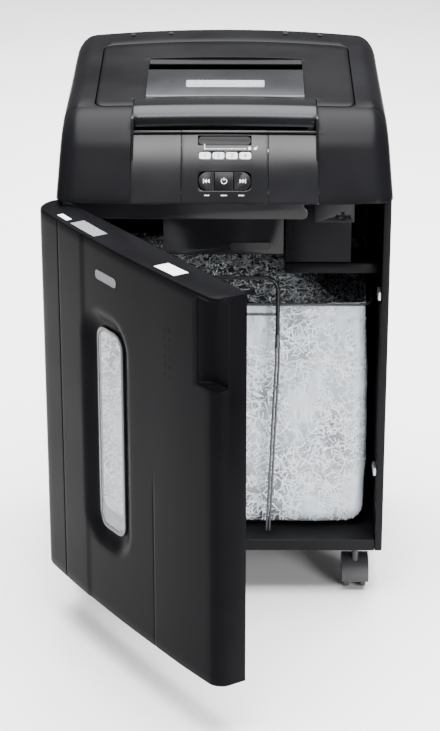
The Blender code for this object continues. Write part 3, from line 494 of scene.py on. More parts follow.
# lid insert, handle, front strips, buttons and display
refined("lid_insert", finish["silver_plastic"], 0.0008)
gripValues = dict(half=0.128, thick=0.0028, bow=0.0045, fall=0.0030)
gripPoints = ((0.0740, 0.7570), (0.0280, 0.7562), (0.0125, 0.7500), (0.0062, 0.7405), (0.0056, 0.7312))
gripLine = eased([(0, y, z) for y, z in gripPoints], 0.012, 5)


def gripRing(f):
    gv = gripValues
    return [(f * gv["half"], p.y + (gv["bow"] * f * f if p.y < 0.05 else 0.0), p.z - gv["fall"] * f * f)
            for p in gripLine]


grip = loft("lidGrip", [gripRing(k / 14) for k in range(-14, 15)], capEnds=False)
if sum(f.normal.z for f in grip.data.polygons) < 0:
    grip.data.flip_normals()
thicken(grip, gripValues["thick"])
soften(grip, 0.0009, 3, 50, 40)
finishPiece(grip, "lid", finish["grip_metal"], "silver_plastic", "lid_handle")
stripValues = dict(low=0.0016, high=0.1072, thick=0.0025, rows=32, bow=0.0088)
pinX = (-0.0273, -0.0086, 0.0099, 0.0285)
pill = roundedRect(-0.0372, 0.0372, 0.0196, 0.0474, 0.0088, 6)
keyHoles = [roundedRect(x - 0.0082, x + 0.0082, 0.0644, 0.0752, 0.0018, 3) for x in pinX]
displayHole = roundedRect(-0.0373, 0.0373, 0.0852, 0.0993, 0.0015, 3)


def onSag(x, s):
    p = fasciaLow + upSlope * s
    return Vector((x, p.y, p.z)) - outward * (sagAt(s) + stripValues["bow"] * (x / half) ** 2)


def frontStrip(node, x0, x1, holes=()):
    v = stripValues
    levels = [v["low"] + (v["high"] - v["low"]) * j / v["rows"] for j in range(v["rows"] + 1)]
    rings = [[onSag(x0 + (x1 - x0) * i / 16, s) for s in levels] for i in range(17)]
    piece = loft(node + "Cover", rings, capEnds=False)
    if sum(f.normal.y for f in piece.data.polygons) > 0:
        piece.data.flip_normals()
    thicken(piece, v["thick"])
    for outline in holes:
        subtract(piece, plate("holeTool", outline, 0.04, onSlope @ Matrix.Translation((0, 0, -0.025))),
                 solver="MANIFOLD")
    soften(piece, 0.0005)
    return finishPiece(piece, "cabinet", finish["graphite_plastic"], "graphite_plastic", node)


frontStrip("fascia_left", -0.1305, -0.0606)
frontStrip("fascia_right", 0.0606, 0.1305)
frontStrip("control_panel", -0.0600, 0.0600, [pill, displayHole] + keyHoles)
for node in ("button_reverse", "button_power", "button_forward"):
    refined(node, finish["button_grey"], 0.0006, sagged=True)
for k in range(1, 5):
    refined("pin_key_%d" % k, finish["key_white"], 0.0005, sagged=True)
refined("display_window", finish["display_glass"], 0.0003, sagged=True)

# printing and symbols on the control panel: flat plates laid on the slope
inkWhite = surfaceMaterial("printWhite", (0.62, 0.63, 0.66), (0.74, 0.75, 0.78), 0.45, mottle=300,
                           grain=2500, bump=0.03)
inkDark = surfaceMaterial("printDark", (0.012, 0.012, 0.014), (0.02, 0.02, 0.023), 0.5, mottle=300,
                          grain=2500, bump=0.03)


def frontOf(node):
    return max((v.co - home - fasciaLow).dot(outward) for v in nodes[node].data.vertices)


def mark(name, outlines, above, thickness=0.0003):
    pieces = [plate(name, o, thickness, onSlope @ Matrix.Translation((0, 0,
                                                                      above - thickness
                                                                      + 0.00012))) for o in outlines]
    return sagSlope(join(name, pieces))


def ringPoints(cx, cy, outer, inner, start, stop, steps=20):
    angles = [math.radians(start + (stop - start) * k / steps) for k in range(steps + 1)]
    return ([(cx + outer * math.cos(a), cy + outer * math.sin(a)) for a in angles]
            + [(cx + inner * math.cos(a), cy + inner * math.sin(a)) for a in reversed(angles)])


def rect(x0, x1, y0, y1):
    return [(x0, y0), (x1, y0), (x1, y1), (x0, y1)]


symbolY = 0.0335
arrow = dict(width=0.0034, height=0.0060, gap=0.0005)
for node, cx, way in (("button_reverse", -0.0245, -1), ("button_forward", 0.0245, 1)):
    shapes = []
    for k in (-1, 0):
        x0 = cx + way * (k * (arrow["width"] + arrow["gap"]) + 0.0002)
        tip = x0 + way * arrow["width"]
        shapes.append([(x0, symbolY - arrow["height"] / 2), (tip, symbolY),
                       (x0, symbolY + arrow["height"] / 2)][::way])
    bar = cx + way * 0.0040
    shapes.append(rect(min(bar, bar + way * 0.0010), max(bar, bar + way * 0.0010), symbolY - 0.003,
                       symbolY + 0.003))
    finishPiece(mark(node + "Symbol", shapes, frontOf(node)), bodyOf[node], inkWhite, "key_white")
power = [ringPoints(-0.0008, symbolY, 0.0042, 0.0033, 125, 415),
         rect(-0.0013, -0.0003, symbolY + 0.0008, symbolY + 0.0048)]
finishPiece(mark("button_powerSymbol", power, frontOf("button_power")), "button_power", inkWhite,
            "key_white")
for k, x in enumerate(pinX):
    bpy.ops.object.select_all(action="DESELECT")
    bpy.ops.object.text_add()
    digit = bpy.context.object
    digit.data.body, digit.data.size, digit.data.extrude = str(k + 1), 0.0082, 0.00014
    digit.data.align_x, digit.data.align_y = "CENTER", "CENTER"
    bpy.ops.object.convert(target="MESH")
    digit.name = "pinDigit%d" % (k + 1)
    digit.data.transform(onSlope @ Matrix.Translation((x, 0.0699, frontOf("pin_key_%d" % (k + 1))
                                                       + 0.00004)))
    sagSlope(digit)
    finishPiece(digit, "pin_key_%d" % (k + 1), inkDark, "black_plastic")
printed = [rect(-0.0282, -0.0275, 0.0788, 0.0868), rect(-0.0275, 0.0295, 0.0796, 0.0802)]
printed += [ringPoints(x, 0.0799, 0.0010, 0.0, 0, 360, 10) for x in pinX]
for x, lift in ((0.0345, 0.0), (0.0425, 0.0018)):  # a closed and an open padlock
    printed.append(rect(x - 0.0019, x + 0.0019, 0.0787, 0.0817))
    printed.append(ringPoints(x + lift, 0.0817, 0.0016, 0.0010, 0, 180, 8))
printed += [rect(x - w / 2, x + w / 2, 0.0127, 0.0139) for x, w in ((-0.0245, 0.0070),
                                                                    (-0.0008, 0.0084), (0.0230, 0.0078))]
finishPiece(mark("panelPrinting", printed, 0.0), "cabinet", inkWhite, "key_white")


# the insert's grooves and its blank label, and small cover caps at the crown's back
def crownPlate(name, outline, lift, thickness):
    piece = plate(name, outline, thickness, Matrix.Translation(home))
    for v in piece.data.vertices:
        v.co.z += crownZ(v.co.x - midX, v.co.y - frontY) + lift
    return piece


label = crownPlate("insertLabel", roundedRect(-0.0560, 0.0560, 0.1130, 0.1400, 0.002, 3), 0.0038, 0.0004)
finishPiece(label, "lid", surfaceMaterial("insertLabelFilm", (0.20, 0.205, 0.22), (0.27, 0.275, 0.29),
                                          0.35, mottle=160,
                                          grain=900, bump=0.05), "silver_plastic")
ribs = join("insertRibs", [crownPlate("insertRib", rect(-0.1115, 0.1115, y, y + 0.0014), 0.0037, 0.0004)
                           for y in (0.1085, 0.1445, 0.1725)])
finishPiece(ribs, "lid", finish["black_plastic"], "black_plastic")
recess = crownPlate("slotRecess", rect(-0.1120, 0.1120, 0.2270, 0.2456), -0.0030, 0.0018)
finishPiece(recess, "lid", finish["black_plastic"], "black_plastic")
caps = join("crownCaps", [crownPlate("crownCap", roundedRect(x - 0.0035, x + 0.0035, 0.352, 0.360,
                                                             0.001, 2), -0.0006, 0.0007)
                          for x in (-0.1420, -0.0840, 0.0905, 0.1430)])
finishPiece(caps, "cabinet", finish["black_plastic"], "black_plastic")
for node in ("front_crossbar", "mechanism_cover", "interlock_bracket", "paper_tray"):
    refined(node, finish["graphite_plastic"], 0.0010)
for node in ("motor_cover", "shred_ledge"):
    refined(node, finish["black_shell"], 0.0012)
for node in ("cabinet_left_panel", "cabinet_right_panel", "cabinet_base"):
    refined(node, finish["laminated_board"], 0.0010)
refined("cabinet_back_panel", finish["laminated_board"], 0.0)
for node in ("catch_plate_upper", "catch_plate_lower", "hinge_bracket_upper", "hinge_bracket_lower"):
    refined(node, finish["zinc_plate"], 0.0004)
for node in ("power_inlet", "switch_frame", "power_rocker"):
    refined(node, finish["black_plastic"], 0.0005)
refined("window_trim", finish["bright_trim"], 0.0006)
refined("door_window", finish["door_glass"], 0.0004)
for where in ("front_left", "front_right", "rear_left", "rear_right"):
    refined("caster_hood_" + where, finish["wheel_tread"], 0.0014, 3)
    refined("caster_wheel_" + where, finish["wheel_tread"], 0.0008)
for name, obj in nodes.items():  # what stays as it is gets its finish
    for s in obj.material_slots:
        s.material = finish.get(slotOf[name], finish["graphite_plastic"])
print("small parts done")


# door: shaped shut, then turned to stand open about its hinge
doorValues = dict(end=0.2345, low=0.081, high=0.628, inner=-0.003, thick=0.046, bow=0.010,
                  hingeRound=0.030,
                  freeRound=0.016, openAngle=56.5, skin=0.0026, seamAt=0.074, ridgeAt=0.140, lineAt=0.322)
dv = doorValues
hinge = Vector((-half + 0.0045, -0.008, 0))
swing = (Matrix.Translation(home + hinge) @ Matrix.Rotation(-math.radians(dv["openAngle"]), 4, "Z")
         @ Matrix.Translation(-hinge))
glass = dict(x0=hinge.x + 0.166, x1=hinge.x + 0.236, z0=0.205, z1=0.505, radius=0.022, flare=0.030)


def easeStep(u):
    u = min(1.0, max(0.0, u))
    return u * u * (3 - 2 * u)


def plainFace(x):
    y = dv["inner"] - dv["thick"] - dv["bow"] * (1 - (x / dv["end"]) ** 2)
    for d, r in ((x + dv["end"], dv["hingeRound"]), (dv["end"] - x, dv["freeRound"])):
        if d < r:
            y += r - math.sqrt(max(0.0, r * r - (r - d) ** 2))
    return y


def awayFromGlass(x, z):
    g = glass
    dx = abs(x - (g["x0"] + g["x1"]) / 2) - (g["x1"] - g["x0"]) / 2 + g["radius"]
    dz = abs(z - (g["z0"] + g["z1"]) / 2) - (g["z1"] - g["z0"]) / 2 + g["radius"]
    return math.hypot(max(dx, 0), max(dz, 0)) + min(max(dx, dz), 0) - g["radius"]


glassDepth = plainFace(hinge.x + 0.20) + 0.0125


def doorFace(x, z):
    y, s = plainFace(x), x - hinge.x
    y += 0.0016 * math.exp(-((s - dv["seamAt"]) / 0.0009) ** 2)  # the vertical seam
    y += 0.0013 * easeStep((s - dv["ridgeAt"]) / 0.010) * (1 - easeStep((s - 0.30) / 0.10))  # the long ridge
    y += 0.0006 * math.exp(-((s - dv["lineAt"]) / 0.0010) ** 2) * (1 if z < 0.32 else 0)
    away = awayFromGlass(x, z)
    return y + (glassDepth - y) * (1 - easeStep(away / glass["flare"]))


def doorRing(x):
    c, low, high, yIn = 0.004, dv["low"], dv["high"], dv["inner"]
    zs = sorted(set([low + c + (high - low - 2 * c) * k / 46 for k in range(47)]
                    + [0.155 + 0.006 * k for k in range(12)] + [0.487 + 0.006 * k for k in range(12)]))
    foot1, top1 = doorFace(x, low + c), doorFace(x, high - c)
    return ([(x, yIn, low), (x, min(yIn - 0.0005, foot1 + c), low),
             (x, min(yIn - 0.0004, foot1 + c * 0.3), low + c * 0.3)]
            + [(x, doorFace(x, z), z) for z in zs]
            + [(x, min(yIn - 0.0004, top1 + c * 0.3), high - c * 0.3), (x, min(yIn - 0.0005, top1 + c),
                                                                        high), (x, yIn, high)])


e = dv["end"]
hingeSide = [-e + 0.030 * (1 - math.cos(math.radians(a))) for a in (0, 14, 28, 42, 56, 70, 82, 90)]
freeSide = [e - 0.016 * (1 - math.cos(math.radians(a))) for a in (90, 75, 60, 45, 30, 15, 0)]
seam = [hinge.x + dv["seamAt"] + d for d in (-0.0045, -0.0022, -0.0012, -0.0005, 0.0005, 0.0012, 0.0022,
                                             0.0045)]
line = [hinge.x + dv["lineAt"] + d for d in (-0.0035, -0.0014, -0.0005, 0.0005, 0.0014, 0.0035)]
window = [hinge.x + 0.128 + 0.0045 * k for k in range(32)]
plain = [x for x in [-e + 0.03 + k * 0.0125 for k in range(1, 36)] if x < e - 0.02
         and not (hinge.x + 0.120 < x < hinge.x + 0.275) and abs(x - hinge.x - dv["seamAt"]) > 0.008
         and abs(x - hinge.x - dv["lineAt"]) > 0.007]
door = loft("doorCover", [doorRing(x) for x in sorted(hingeSide + seam + line + window + plain
                                                      + freeSide)])
for v in door.data.vertices:
    v.co -= home
thicken(door, dv["skin"])
def facing(y):
    return Matrix(((1, 0, 0, 0), (0, 0, -1, y), (0, 1, 0, 0), (0, 0, 0, 1)))  # an outline in x and z


glassHole = plate("glassTool", roundedRect(glass["x0"] + 0.0035, glass["x1"] - 0.0035,
                                           glass["z0"] + 0.0035,
                  glass["z1"] - 0.0035, 0.0185, 8), 0.2, facing(0.1))
pocketX, pocketLow, pocketHigh = e - 0.046, dv["high"] - 0.124, dv["high"] - 0.007
pocket = [(pocketX, -0.090), (pocketX + 0.006, -0.046), (pocketX + 0.011, -0.037),
          (pocketX + 0.019, -0.032),
          (e + 0.01, -0.0295), (e + 0.01, -0.090)]
upright = Matrix.Translation((0, 0, pocketLow))
pocketHole = plate("pocketTool", pocket, pocketHigh - pocketLow, upright)
roundEdges(pocketHole, 0.004, 4, 50)
applyModifiers(pocketHole)
outer = [(x, plainFace(x) + 0.0012) for x in (pocketX - 0.0026, pocketX + 0.012, pocketX + 0.026,
                                              e - 0.012,
                                             e - 0.006, e - 0.0025, e - 0.0012)]
lining = plate("gripLining", outer + [(e - 0.0012, -0.0270), (pocketX + 0.017, -0.0292),
                                      (pocketX + 0.006, -0.0340)],
               pocketHigh - pocketLow + 0.005, Matrix.Translation((0, 0, pocketLow - 0.0025)))
carve = plate("pocketCarveTool", pocket, pocketHigh - pocketLow, upright)
roundEdges(carve, 0.004, 4, 50)
applyModifiers(carve)
subtract(lining, carve)
subtract(door, glassHole, pocketHole)
for piece, width in ((door, 0.0007), (lining, 0.0003)):
    roundEdges(piece, width, 2, 50)
    applyModifiers(piece)
    piece.data.transform(swing)
    smooth(piece, 35)
liner = dict(x0=-e + 0.0155, x1=e - 0.004, z0=dv["low"] + 0.004, z1=dv["high"] - 0.004, opening=0.094)
back = plate("doorLiner", roundedRect(liner["x0"], liner["x1"], liner["z0"], liner["z1"], 0.004, 3),
             0.003,
             facing(-0.0035))
sight = plate("linerTool", roundedRect(hinge.x + liner["opening"], glass["x1"] + 0.006,
                                       glass["z0"] - 0.010,
              glass["z1"] + 0.040, 0.022, 6), 0.2, facing(0.1))
subtract(back, sight)
roundEdges(back, 0.0006, 2)
applyModifiers(back)
back.data.transform(swing)
smooth(back, 35)
finishPiece(back, "door", finish["graphite_plastic"], "graphite_plastic", "door_inner_panel")
finishPiece(door, "door", finish["door_black"], "black_shell", "door_shell")
finishPiece(lining, "door", finish["door_black"], "black_plastic")
print("door done")

# blank labels on the door's top edge, and a blank badge and embossed dots on its face
paperLabel = surfaceMaterial("labelPaper", (0.66, 0.67, 0.69), (0.80, 0.81, 0.82), 0.5, mottle=120,
                             grain=900, bump=0.05)
greyLabel = surfaceMaterial("labelGrey", (0.03, 0.032, 0.036), (0.24, 0.245, 0.26), 0.5, mottle=420,
                            grain=1500, bump=0.05)


def topLabel(name, x0, x1, inset0, inset1, material):
    steps = [x0 + (x1 - x0) * k / 8 for k in range(9)]
    outline = [(x, plainFace(x) + inset0) for x in steps] + [(x, plainFace(x) + inset1)
                                                             for x in reversed(steps)]
    piece = plate(name, outline, 0.0003, Matrix.Translation((0, 0, dv["high"] + 0.00002)))
    piece.data.transform(swing)
    return finishPiece(piece, "door", material, "key_white")


topLabel("doorLabelWhite", -0.172, -0.144, 0.0085, 0.0170, paperLabel)
topLabel("doorLabelGrey", -0.130, -0.063, 0.0075, 0.0290, greyLabel)
topLabel("doorLabelPlain", 0.084, 0.130, 0.0110, 0.0330, paperLabel)


def onFace(name, outlines, thickness, proud):
    pieces = []
    for o in outlines:
        piece = plate(name, o, thickness, Matrix())
        for v in piece.data.vertices:
            x, z, up = v.co.x, v.co.y, v.co.z
            v.co = (x, doorFace(x, z) + (thickness - proud) - up, z)
        turnOutward(piece)
        piece.data.transform(swing)
        pieces.append(piece)
    return join(name, pieces)


badge = onFace("doorBadge", [roundedRect(hinge.x + 0.182, hinge.x + 0.236, 0.5755, 0.5885, 0.0055, 5)],
               0.0012, 0.0006)
finishPiece(badge, "door", surfaceMaterial("badgeGrey", (0.06, 0.06, 0.065), (0.09, 0.09, 0.096), 0.3,
                                           metal=0.5,
                                           mottle=60, bump=0.05), "silver_plastic")
dots = [ringPoints(hinge.x + 0.352 + 0.011 * c, 0.556 - 0.0125 * r, 0.0030, 0.0, 0, 360, 8)
        for r in range(6) for c in range(2)]
finishPiece(onFace("doorDimples", dots, 0.0006, 0.00025), "door", finish["door_black"], "black_plastic")
print("door labels done")


# bag: a wrinkled film round a core coloured near-black as painted shade between the strips, with strips
# between them
bagValues = dict(film=0.0003, halfWidth=0.2125, front=0.036, back=0.348, low=0.102, high=0.457,
                 corner=0.020, seed=11,
                 wrinkle=0.0042, frontStrips=10500, topStrips=5200)
bv = bagValues
tuckValues = dict(height=0.030, depth=0.024, side=0.8)  # how the bag draws in towards its base


def bagPoint(t, z, inward):
    w, d = bv["halfWidth"] - inward, (bv["back"] - bv["front"]) / 2 - inward
    mid = (bv["front"] + bv["back"]) / 2
    r = max(0.004, bv["corner"] - inward)
    lift = (z - bv["low"]) / tuckValues["height"]
    tuck = tuckValues["depth"] * (1 - math.sqrt(max(0.0, 1 - (1 - min(1.0, max(0.0, lift))) ** 2)))
    w, d = w - tuck, d - tuck * tuckValues["side"]
    total = 4 * (w + d) - 8 * r + 2 * math.pi * r
    s = (t % 1.0) * total
    sides = [(2 * (w - r), Vector((-w + r, -d, 0)), Vector((1, 0, 0))),
             (2 * (d - r), Vector((w, -d + r, 0)), Vector((0, 1, 0))),
             (2 * (w - r), Vector((w - r, d, 0)), Vector((-1, 0, 0))),
             (2 * (d - r), Vector((-w, d - r, 0)), Vector((0, -1, 0)))]
    arc = math.pi / 2 * r
    for length, start, along in sides:
        if s <= length:
            n = Vector((along.y, -along.x, 0))
            p = start + along * s
            break
        s -= length
        if s <= arc:
            a = s / r
            n0 = Vector((along.y, -along.x, 0))
            n = n0 * math.cos(a) + along * math.sin(a)
            p = start + along * length - n0 * r + n * r
            break
        s -= arc
    else:
        n, p = Vector((0, -1, 0)), Vector((-w + r, -d, 0))
    return Vector((p.x, p.y + mid, z)), n


def filmDepth(p):
    broad = noise.fractal(Vector((p.x * 9, p.y * 9, p.z * 5)), 1.0, 2.0, 3)
    folds = abs(noise.noise(Vector((p.x * 34 + p.z * 9, p.y * 34, p.z * 7))))
    creases = abs(noise.noise(Vector((p.x * 70, p.y * 70, p.z * 34 + p.x * 26))))
    top = easeStep((p.z - 0.36) / 0.09)
    return bv["wrinkle"] * (0.55 + 0.55 * broad + (0.5 + 0.9 * top) * (1 - 2 * folds) * 0.5
                            + 0.22 * (1 - 2 * creases))


def bagRings(columns, rows, inward, wrinkled):
    rings = []
    for i in range(columns + 1):
        ring = []
        for j in range(rows + 1):
            z = bv["low"] + (bv["high"] - bv["low"]) * (j / rows) ** 1.05
            p, n = bagPoint(i / columns, z, inward)
            if wrinkled:
                p = p - n * max(0.0, min(0.012, filmDepth(p)))
            ring.append(p)
        rings.append(ring)
    return rings


def filmMaterial():
    m, n, l, shader = newMaterial("bag_film")
    where = n.new("ShaderNodeTexCoord").outputs["Object"]
    cloud = noiseNode(n, l, where, 18, 4)
    fine = noiseNode(n, l, where, 150, 3, (1, 1, 0.35))
    l.new(ramp(n, l, cloud, ((0.3, (0.70, 0.78, 0.86)), (0.7, (0.86, 0.92, 0.98)))),
          shader.inputs["Base Color"])
    l.new(spread(n, l, fine, 0.12, 0.26), shader.inputs["Roughness"])
    l.new(bumpNode(n, l, fine, 0.8, 0.0018).outputs["Normal"], shader.inputs["Normal"])
    folds = spread(n, l, noiseNode(n, l, where, 16, 5, (1, 1, 0.45)), 0.03, 0.42)
    l.new(folds, shader.inputs["Alpha"])
    shader.inputs["Specular IOR Level"].default_value = 0.9
    return m


def paperMaterial():
    m, n, l, shader = newMaterial("shredded_paper")
    where = n.new("ShaderNodeTexCoord").outputs["Object"]
    # the tint attribute holds the strips' paper tones together with painted shade between them, and the
    # core's painted shade
    tint = n.new("ShaderNodeAttribute")
    tint.attribute_name = "tint"
    ink = ramp(n, l, noiseNode(n, l, where, 420, 2), ((0.0, (0.55, 0.56, 0.60)),
                                                      (0.36, (0.62, 0.63, 0.66)),
                                                       (0.44, (1, 1, 1)), (1.0, (1, 1, 1))))
    mix = n.new("ShaderNodeMix")
    mix.data_type, mix.blend_type = "RGBA", "MULTIPLY"
    mix.inputs["Factor"].default_value = 0.75
    l.new(tint.outputs["Color"], mix.inputs[6])
    l.new(ink, mix.inputs[7])
    l.new(mix.outputs[2], shader.inputs["Base Color"])
    l.new(spread(n, l, noiseNode(n, l, where, 90, 2), 0.62, 0.8), shader.inputs["Roughness"])
    l.new(bumpNode(n, l, noiseNode(n, l, where, 700, 2), 0.2, 0.0002).outputs["Normal"],
          shader.inputs["Normal"])
    return m


finish["bag_film"], finish["shredded_paper"] = filmMaterial(), paperMaterial()
film = loft("bagFilm", bagRings(260, 80, 0.0, True), capEnds=False, closed=True)
fillOver(film, [v.index for v in film.data.vertices if v.co.z < bv["low"] + 0.0002])
turnOutward(film)
thicken(film, bv["film"])
smooth(film, 60)
finishPiece(film, "cabinet", finish["bag_film"], "bag_film", "waste_bag")


def heapZ(x, y):
    centre = 0.044 * math.exp(-((x + 0.06) / 0.15) ** 2 - ((y - 0.21) / 0.13) ** 2)
    bumps = 0.006 * noise.fractal(Vector((x * 14, y * 14, 1.7)), 1.0, 2.0, 3)
    slope = 0.010 * (-x / 0.2)
    return min(0.502, 0.441 + centre + bumps + slope)


coreRings = bagRings(96, 30, 0.0075, True)
for ring in coreRings:
    for j, p in enumerate(ring):
        p.z = bv["low"] + 0.004 + (heapZ(p.x, p.y) - 0.006 - bv["low"] - 0.004) * j / 30
core = loft("shredCorePaintedShade", coreRings, capEnds=False, closed=True)
spots = [v.co - home for v in core.data.vertices]
fillOver(core, [k for k, p in enumerate(spots) if p.z < bv["low"] + 0.0045])
fillOver(core, [k for k, p in enumerate(spots) if p.z > heapZ(p.x, p.y) - 0.0064])
turnOutward(core)
print("bag done")

# one curled strip, copied over the heap and behind the film
shredValues = dict(length=0.0165, width=0.0017, curls=(0.0, 0.0016, -0.0018, 0.0032))
variants = []
for k, curl in enumerate(shredValues["curls"]):
    bpy.ops.object.select_all(action="DESELECT")
    bpy.ops.mesh.primitive_grid_add(x_subdivisions=4, y_subdivisions=1, size=1)
    strip = bpy.context.object
    pts = np.array([v.co[:] for v in strip.data.vertices])
    pts[:, 0] *= shredValues["length"]
    pts[:, 1] *= shredValues["width"]
    u = pts[:, 0] / shredValues["length"]
    pts[:, 2] = curl * (4 * u * u - 0.5) + (0.0010 * np.sin(u * 7) if k % 2 else 0)
    faces = np.array([f.vertices[:] for f in strip.data.polygons])
    variants.append((pts, faces))
    bpy.data.objects.remove(strip)

rng = np.random.default_rng(bv["seed"])
places = []
while len(places) < bv["frontStrips"]:
    t, z = rng.random(), bv["low"] + 0.006 + rng.random() * (bv["high"] - bv["low"] - 0.020)
    p, n = bagPoint(t, z, 0.0)
    if p.y > 0.20 and rng.random() < 0.85:
        continue
    depth = max(0.0, min(0.012, filmDepth(p))) + 0.0016 + rng.random() * 0.0050
    places.append((p - n * depth, n, 0.05 + 0.16 * rng.random()))
for _ in range(bv["topStrips"]):
    x, y = (rng.random() * 2 - 1) * 0.199, 0.050 + rng.random() * 0.284
    p = Vector((x, y, heapZ(x, y) - 0.004 + rng.random() * 0.009))
    p.z = min(p.z, 0.500)
    places.append((p, Vector((0, 0, 1)), 0.28 + 0.35 * rng.random()))

allPoints, allFaces, stripTonesWithShade, count = [], [], [], 0
for p, n, tilt in places:
    pts, faces = variants[rng.integers(len(variants))]
    a = Vector((0, 0, 1)) if abs(n.z) < 0.5 else Vector((1, 0, 0))
    side = n.cross(a).normalized()
    up = side.cross(n)
    turn = rng.random() * math.tau
    lean = Matrix.Rotation(turn, 3, n) @ Matrix.Rotation((rng.random() - 0.5) * 2 * tilt, 3, side)
    m = np.array((lean @ Matrix((side, up, n)).transposed()))
    scale = 0.6 + 0.6 * rng.random()
    q = (pts * (scale, 1, 1)) @ m.T + np.array(p)
    if abs(n.z) < 0.5:
        q[:, 2] = np.clip(q[:, 2], bv["low"] + 0.002, None)
    allPoints.append(q)
    allFaces.append(faces + count)
    count += len(pts)
    # paper tones with painted shade: the lighter levels are the paper's own white and grey, the darker
    # levels are painted shade between the strips
    toneWithShade = rng.choice((0.95, 0.70, 0.40, 0.13), p=(0.50, 0.22, 0.14, 0.14)) * (0.94 + 0.1 * rng.random())
    stripTonesWithShade += [(toneWithShade * 0.91, toneWithShade * 0.955, toneWithShade, 1)] * len(pts)
allPoints = np.concatenate(allPoints)
rise = np.clip((allPoints[:, 2] - bv["low"]) / tuckValues["height"], 0, 1)  # strips stay behind the film
tuck = tuckValues["depth"] * (1 - np.sqrt(1 - (1 - rise) ** 2))
mid = np.array([0, (bv["front"] + bv["back"]) / 2])
reach = np.stack([bv["halfWidth"] - tuck, (bv["back"] - bv["front"]) / 2 - tuck * tuckValues["side"]],
                 1) - bv["corner"]
offset = allPoints[:, :2] - mid
beyond = np.maximum(np.abs(offset) - reach, 0)
distance = np.linalg.norm(beyond, axis=1)
allowed = bv["corner"] - 0.0042
pull = np.where(distance > allowed, allowed / np.maximum(distance, 1e-9), 1.0)[:, None]
allPoints[:, :2] = mid + np.sign(offset) * (np.minimum(np.abs(offset), reach) + beyond * pull)
mesh = bpy.data.meshes.new("shredStrips")
mesh.from_pydata([tuple(q + np.array(home)) for q in allPoints], [],
                 [tuple(map(int, f)) for f in np.concatenate(allFaces)])
strips = bpy.data.objects.new("shredStrips", mesh)
bpy.context.collection.objects.link(strips)
# painted shade: the core's near-black tint stands for the shade in the gaps between the strips
for piece, tonesWithShade in ((strips, stripTonesWithShade), (core, [(0.11, 0.115, 0.13, 1)] * len(core.data.vertices))):
    attribute = piece.data.color_attributes.new("tint", "FLOAT_COLOR", "POINT")
    attribute.data.foreach_set("color", np.array(tonesWithShade, dtype=np.float32).ravel())
smooth(strips, 60)
finishPiece(core, "cabinet", finish["shredded_paper"], "shredded_paper", "shred_heap")
finishPiece(strips, "cabinet", finish["shredded_paper"], "shredded_paper")
print("shreds done")


# the bag's frame: a dark tube over the front, with a double wire below it
def tube(name, path, radius, sides=12):
    rings, path = [], [Vector(p) for p in path]
    for k, p in enumerate(path):
        along = (path[min(k + 1, len(path) - 1)] - path[max(k - 1, 0)]).normalized()
        side = along.cross(Vector((0.05, 1, 0.02))).normalized()
        other = along.cross(side)
        rings.append([p + (side * math.cos(a) + other * math.sin(a)) * radius
                      for a in [math.tau * s / sides for s in range(sides + 1)]])
    piece = loft(name, rings, capEnds=True, closed=True)
    smooth(piece, 50)
    return piece


hoop = dict(halfWidth=0.0765, y=0.0195, top=0.5035, joint=0.401, foot=0.103, tube=0.0032, wire=0.0017)
hp = hoop
corner = eased([(-hp["halfWidth"], hp["y"], hp["joint"]), (-hp["halfWidth"], hp["y"], hp["top"]),
                (hp["halfWidth"], hp["y"], hp["top"]), (hp["halfWidth"], hp["y"], hp["joint"])], 0.022, 8)
upper = tube("hoopTube", corner, hp["tube"])
finishPiece(upper, "cabinet", finish["graphite_plastic"], "graphite_plastic", "bag_hoop")
wires = []
for side in (-1, 1):
    for shift in (-0.0022, 0.0022):
        wires.append(tube("hoopWire", [(side * (hp["halfWidth"] + shift), hp["y"], hp["joint"] + 0.004),
                                       (side * (hp["halfWidth"] + shift), hp["y"], hp["joint"] - 0.03),
                                       (side * (hp["halfWidth"] - 0.0115 + shift), hp["y"],
                                        hp["foot"])], hp["wire"], 8))
    wires.append(tube("hoopSocket", [(side * hp["halfWidth"], hp["y"], hp["joint"] - 0.004 + 0.02 * k)
                                     for k in range(2)], 0.0036))
wires.append(tube("shortBar", [(x, hp["y"] + 0.004, 0.4465) for x in (-hp["halfWidth"] + 0.002, 0.0,
                                                                      hp["halfWidth"] - 0.002)], 0.0022))
finishPiece(join("hoopWires", wires), "cabinet", finish["rim_wire"], "rim_wire")
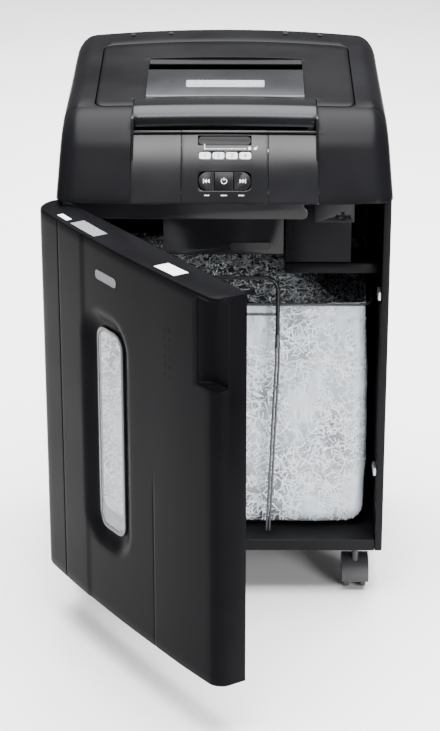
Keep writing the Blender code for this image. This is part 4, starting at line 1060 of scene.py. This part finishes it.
print("frame done")


# studio: floor, lights and camera
def softbox(name, place, aim, size, power, sizeY=None, tint=(1, 1, 1)):
    bpy.ops.object.light_add(type="AREA", location=place)
    lamp = bpy.context.object
    lamp.name = name
    lamp.data.shape = "RECTANGLE"
    lamp.data.size, lamp.data.size_y = size, sizeY or size
    lamp.data.energy, lamp.data.color = power, tint
    lamp.rotation_euler = (Vector(aim) - Vector(place)).to_track_quat("-Z", "Y").to_euler()
    return lamp


studio = dict(world=0.22, overhead=470, front=56, left=3, right=92)
floor = loft("studioFloor", [[(x, y, 0) for y in (-9, -3, 3, 12)] for x in (-9, -3, 3, 9)], capEnds=False)
turnOutward(floor)
floor.data.materials.append(surfaceMaterial("studioPaper", (0.88, 0.88, 0.88), (0.91, 0.91, 0.91), 0.75,
                                            mottle=2, grain=60, bump=0.02))

world = bpy.data.worlds.new("studioAir")
bpy.context.scene.world = world
world.use_nodes = True
world.node_tree.nodes["Background"].inputs["Color"].default_value = (1, 1, 1, 1)
world.node_tree.nodes["Background"].inputs["Strength"].default_value = studio["world"]

overhead = softbox("overheadBox", (0.0, 1.1, 3.3), (0, 1.1, 0), 3.4, studio["overhead"], 5.6)
overhead.rotation_euler, overhead.data.spread = (0, 0, 0), math.radians(115)
softbox("frontHighBox", (0.05, -1.55, 3.15), (0, 0, 0.62), 2.0, studio["front"], 0.55)
softbox("leftBox", (-2.2, -0.6, 1.3), (0, 0.0, 0.4), 0.8, studio["left"], 1.8)
softbox("rightBox", (1.7, -2.5, 0.9), (0.05, 0, 0.40), 0.9, studio["right"], 1.6)

view = dict(place=(0.018, -2.997, 1.562), pitch=21.59, yaw=0.47, lens=109.8)
bpy.ops.object.camera_add(location=Vector(view["place"]) + home,
                          rotation=(math.radians(90 - view["pitch"]), 0, math.radians(view["yaw"])))
camera = bpy.context.object
camera.data.lens, camera.data.sensor_width = view["lens"], 36
camera.data.clip_start, camera.data.clip_end = 0.05, 60
bpy.context.scene.camera = camera
print("studio ready")
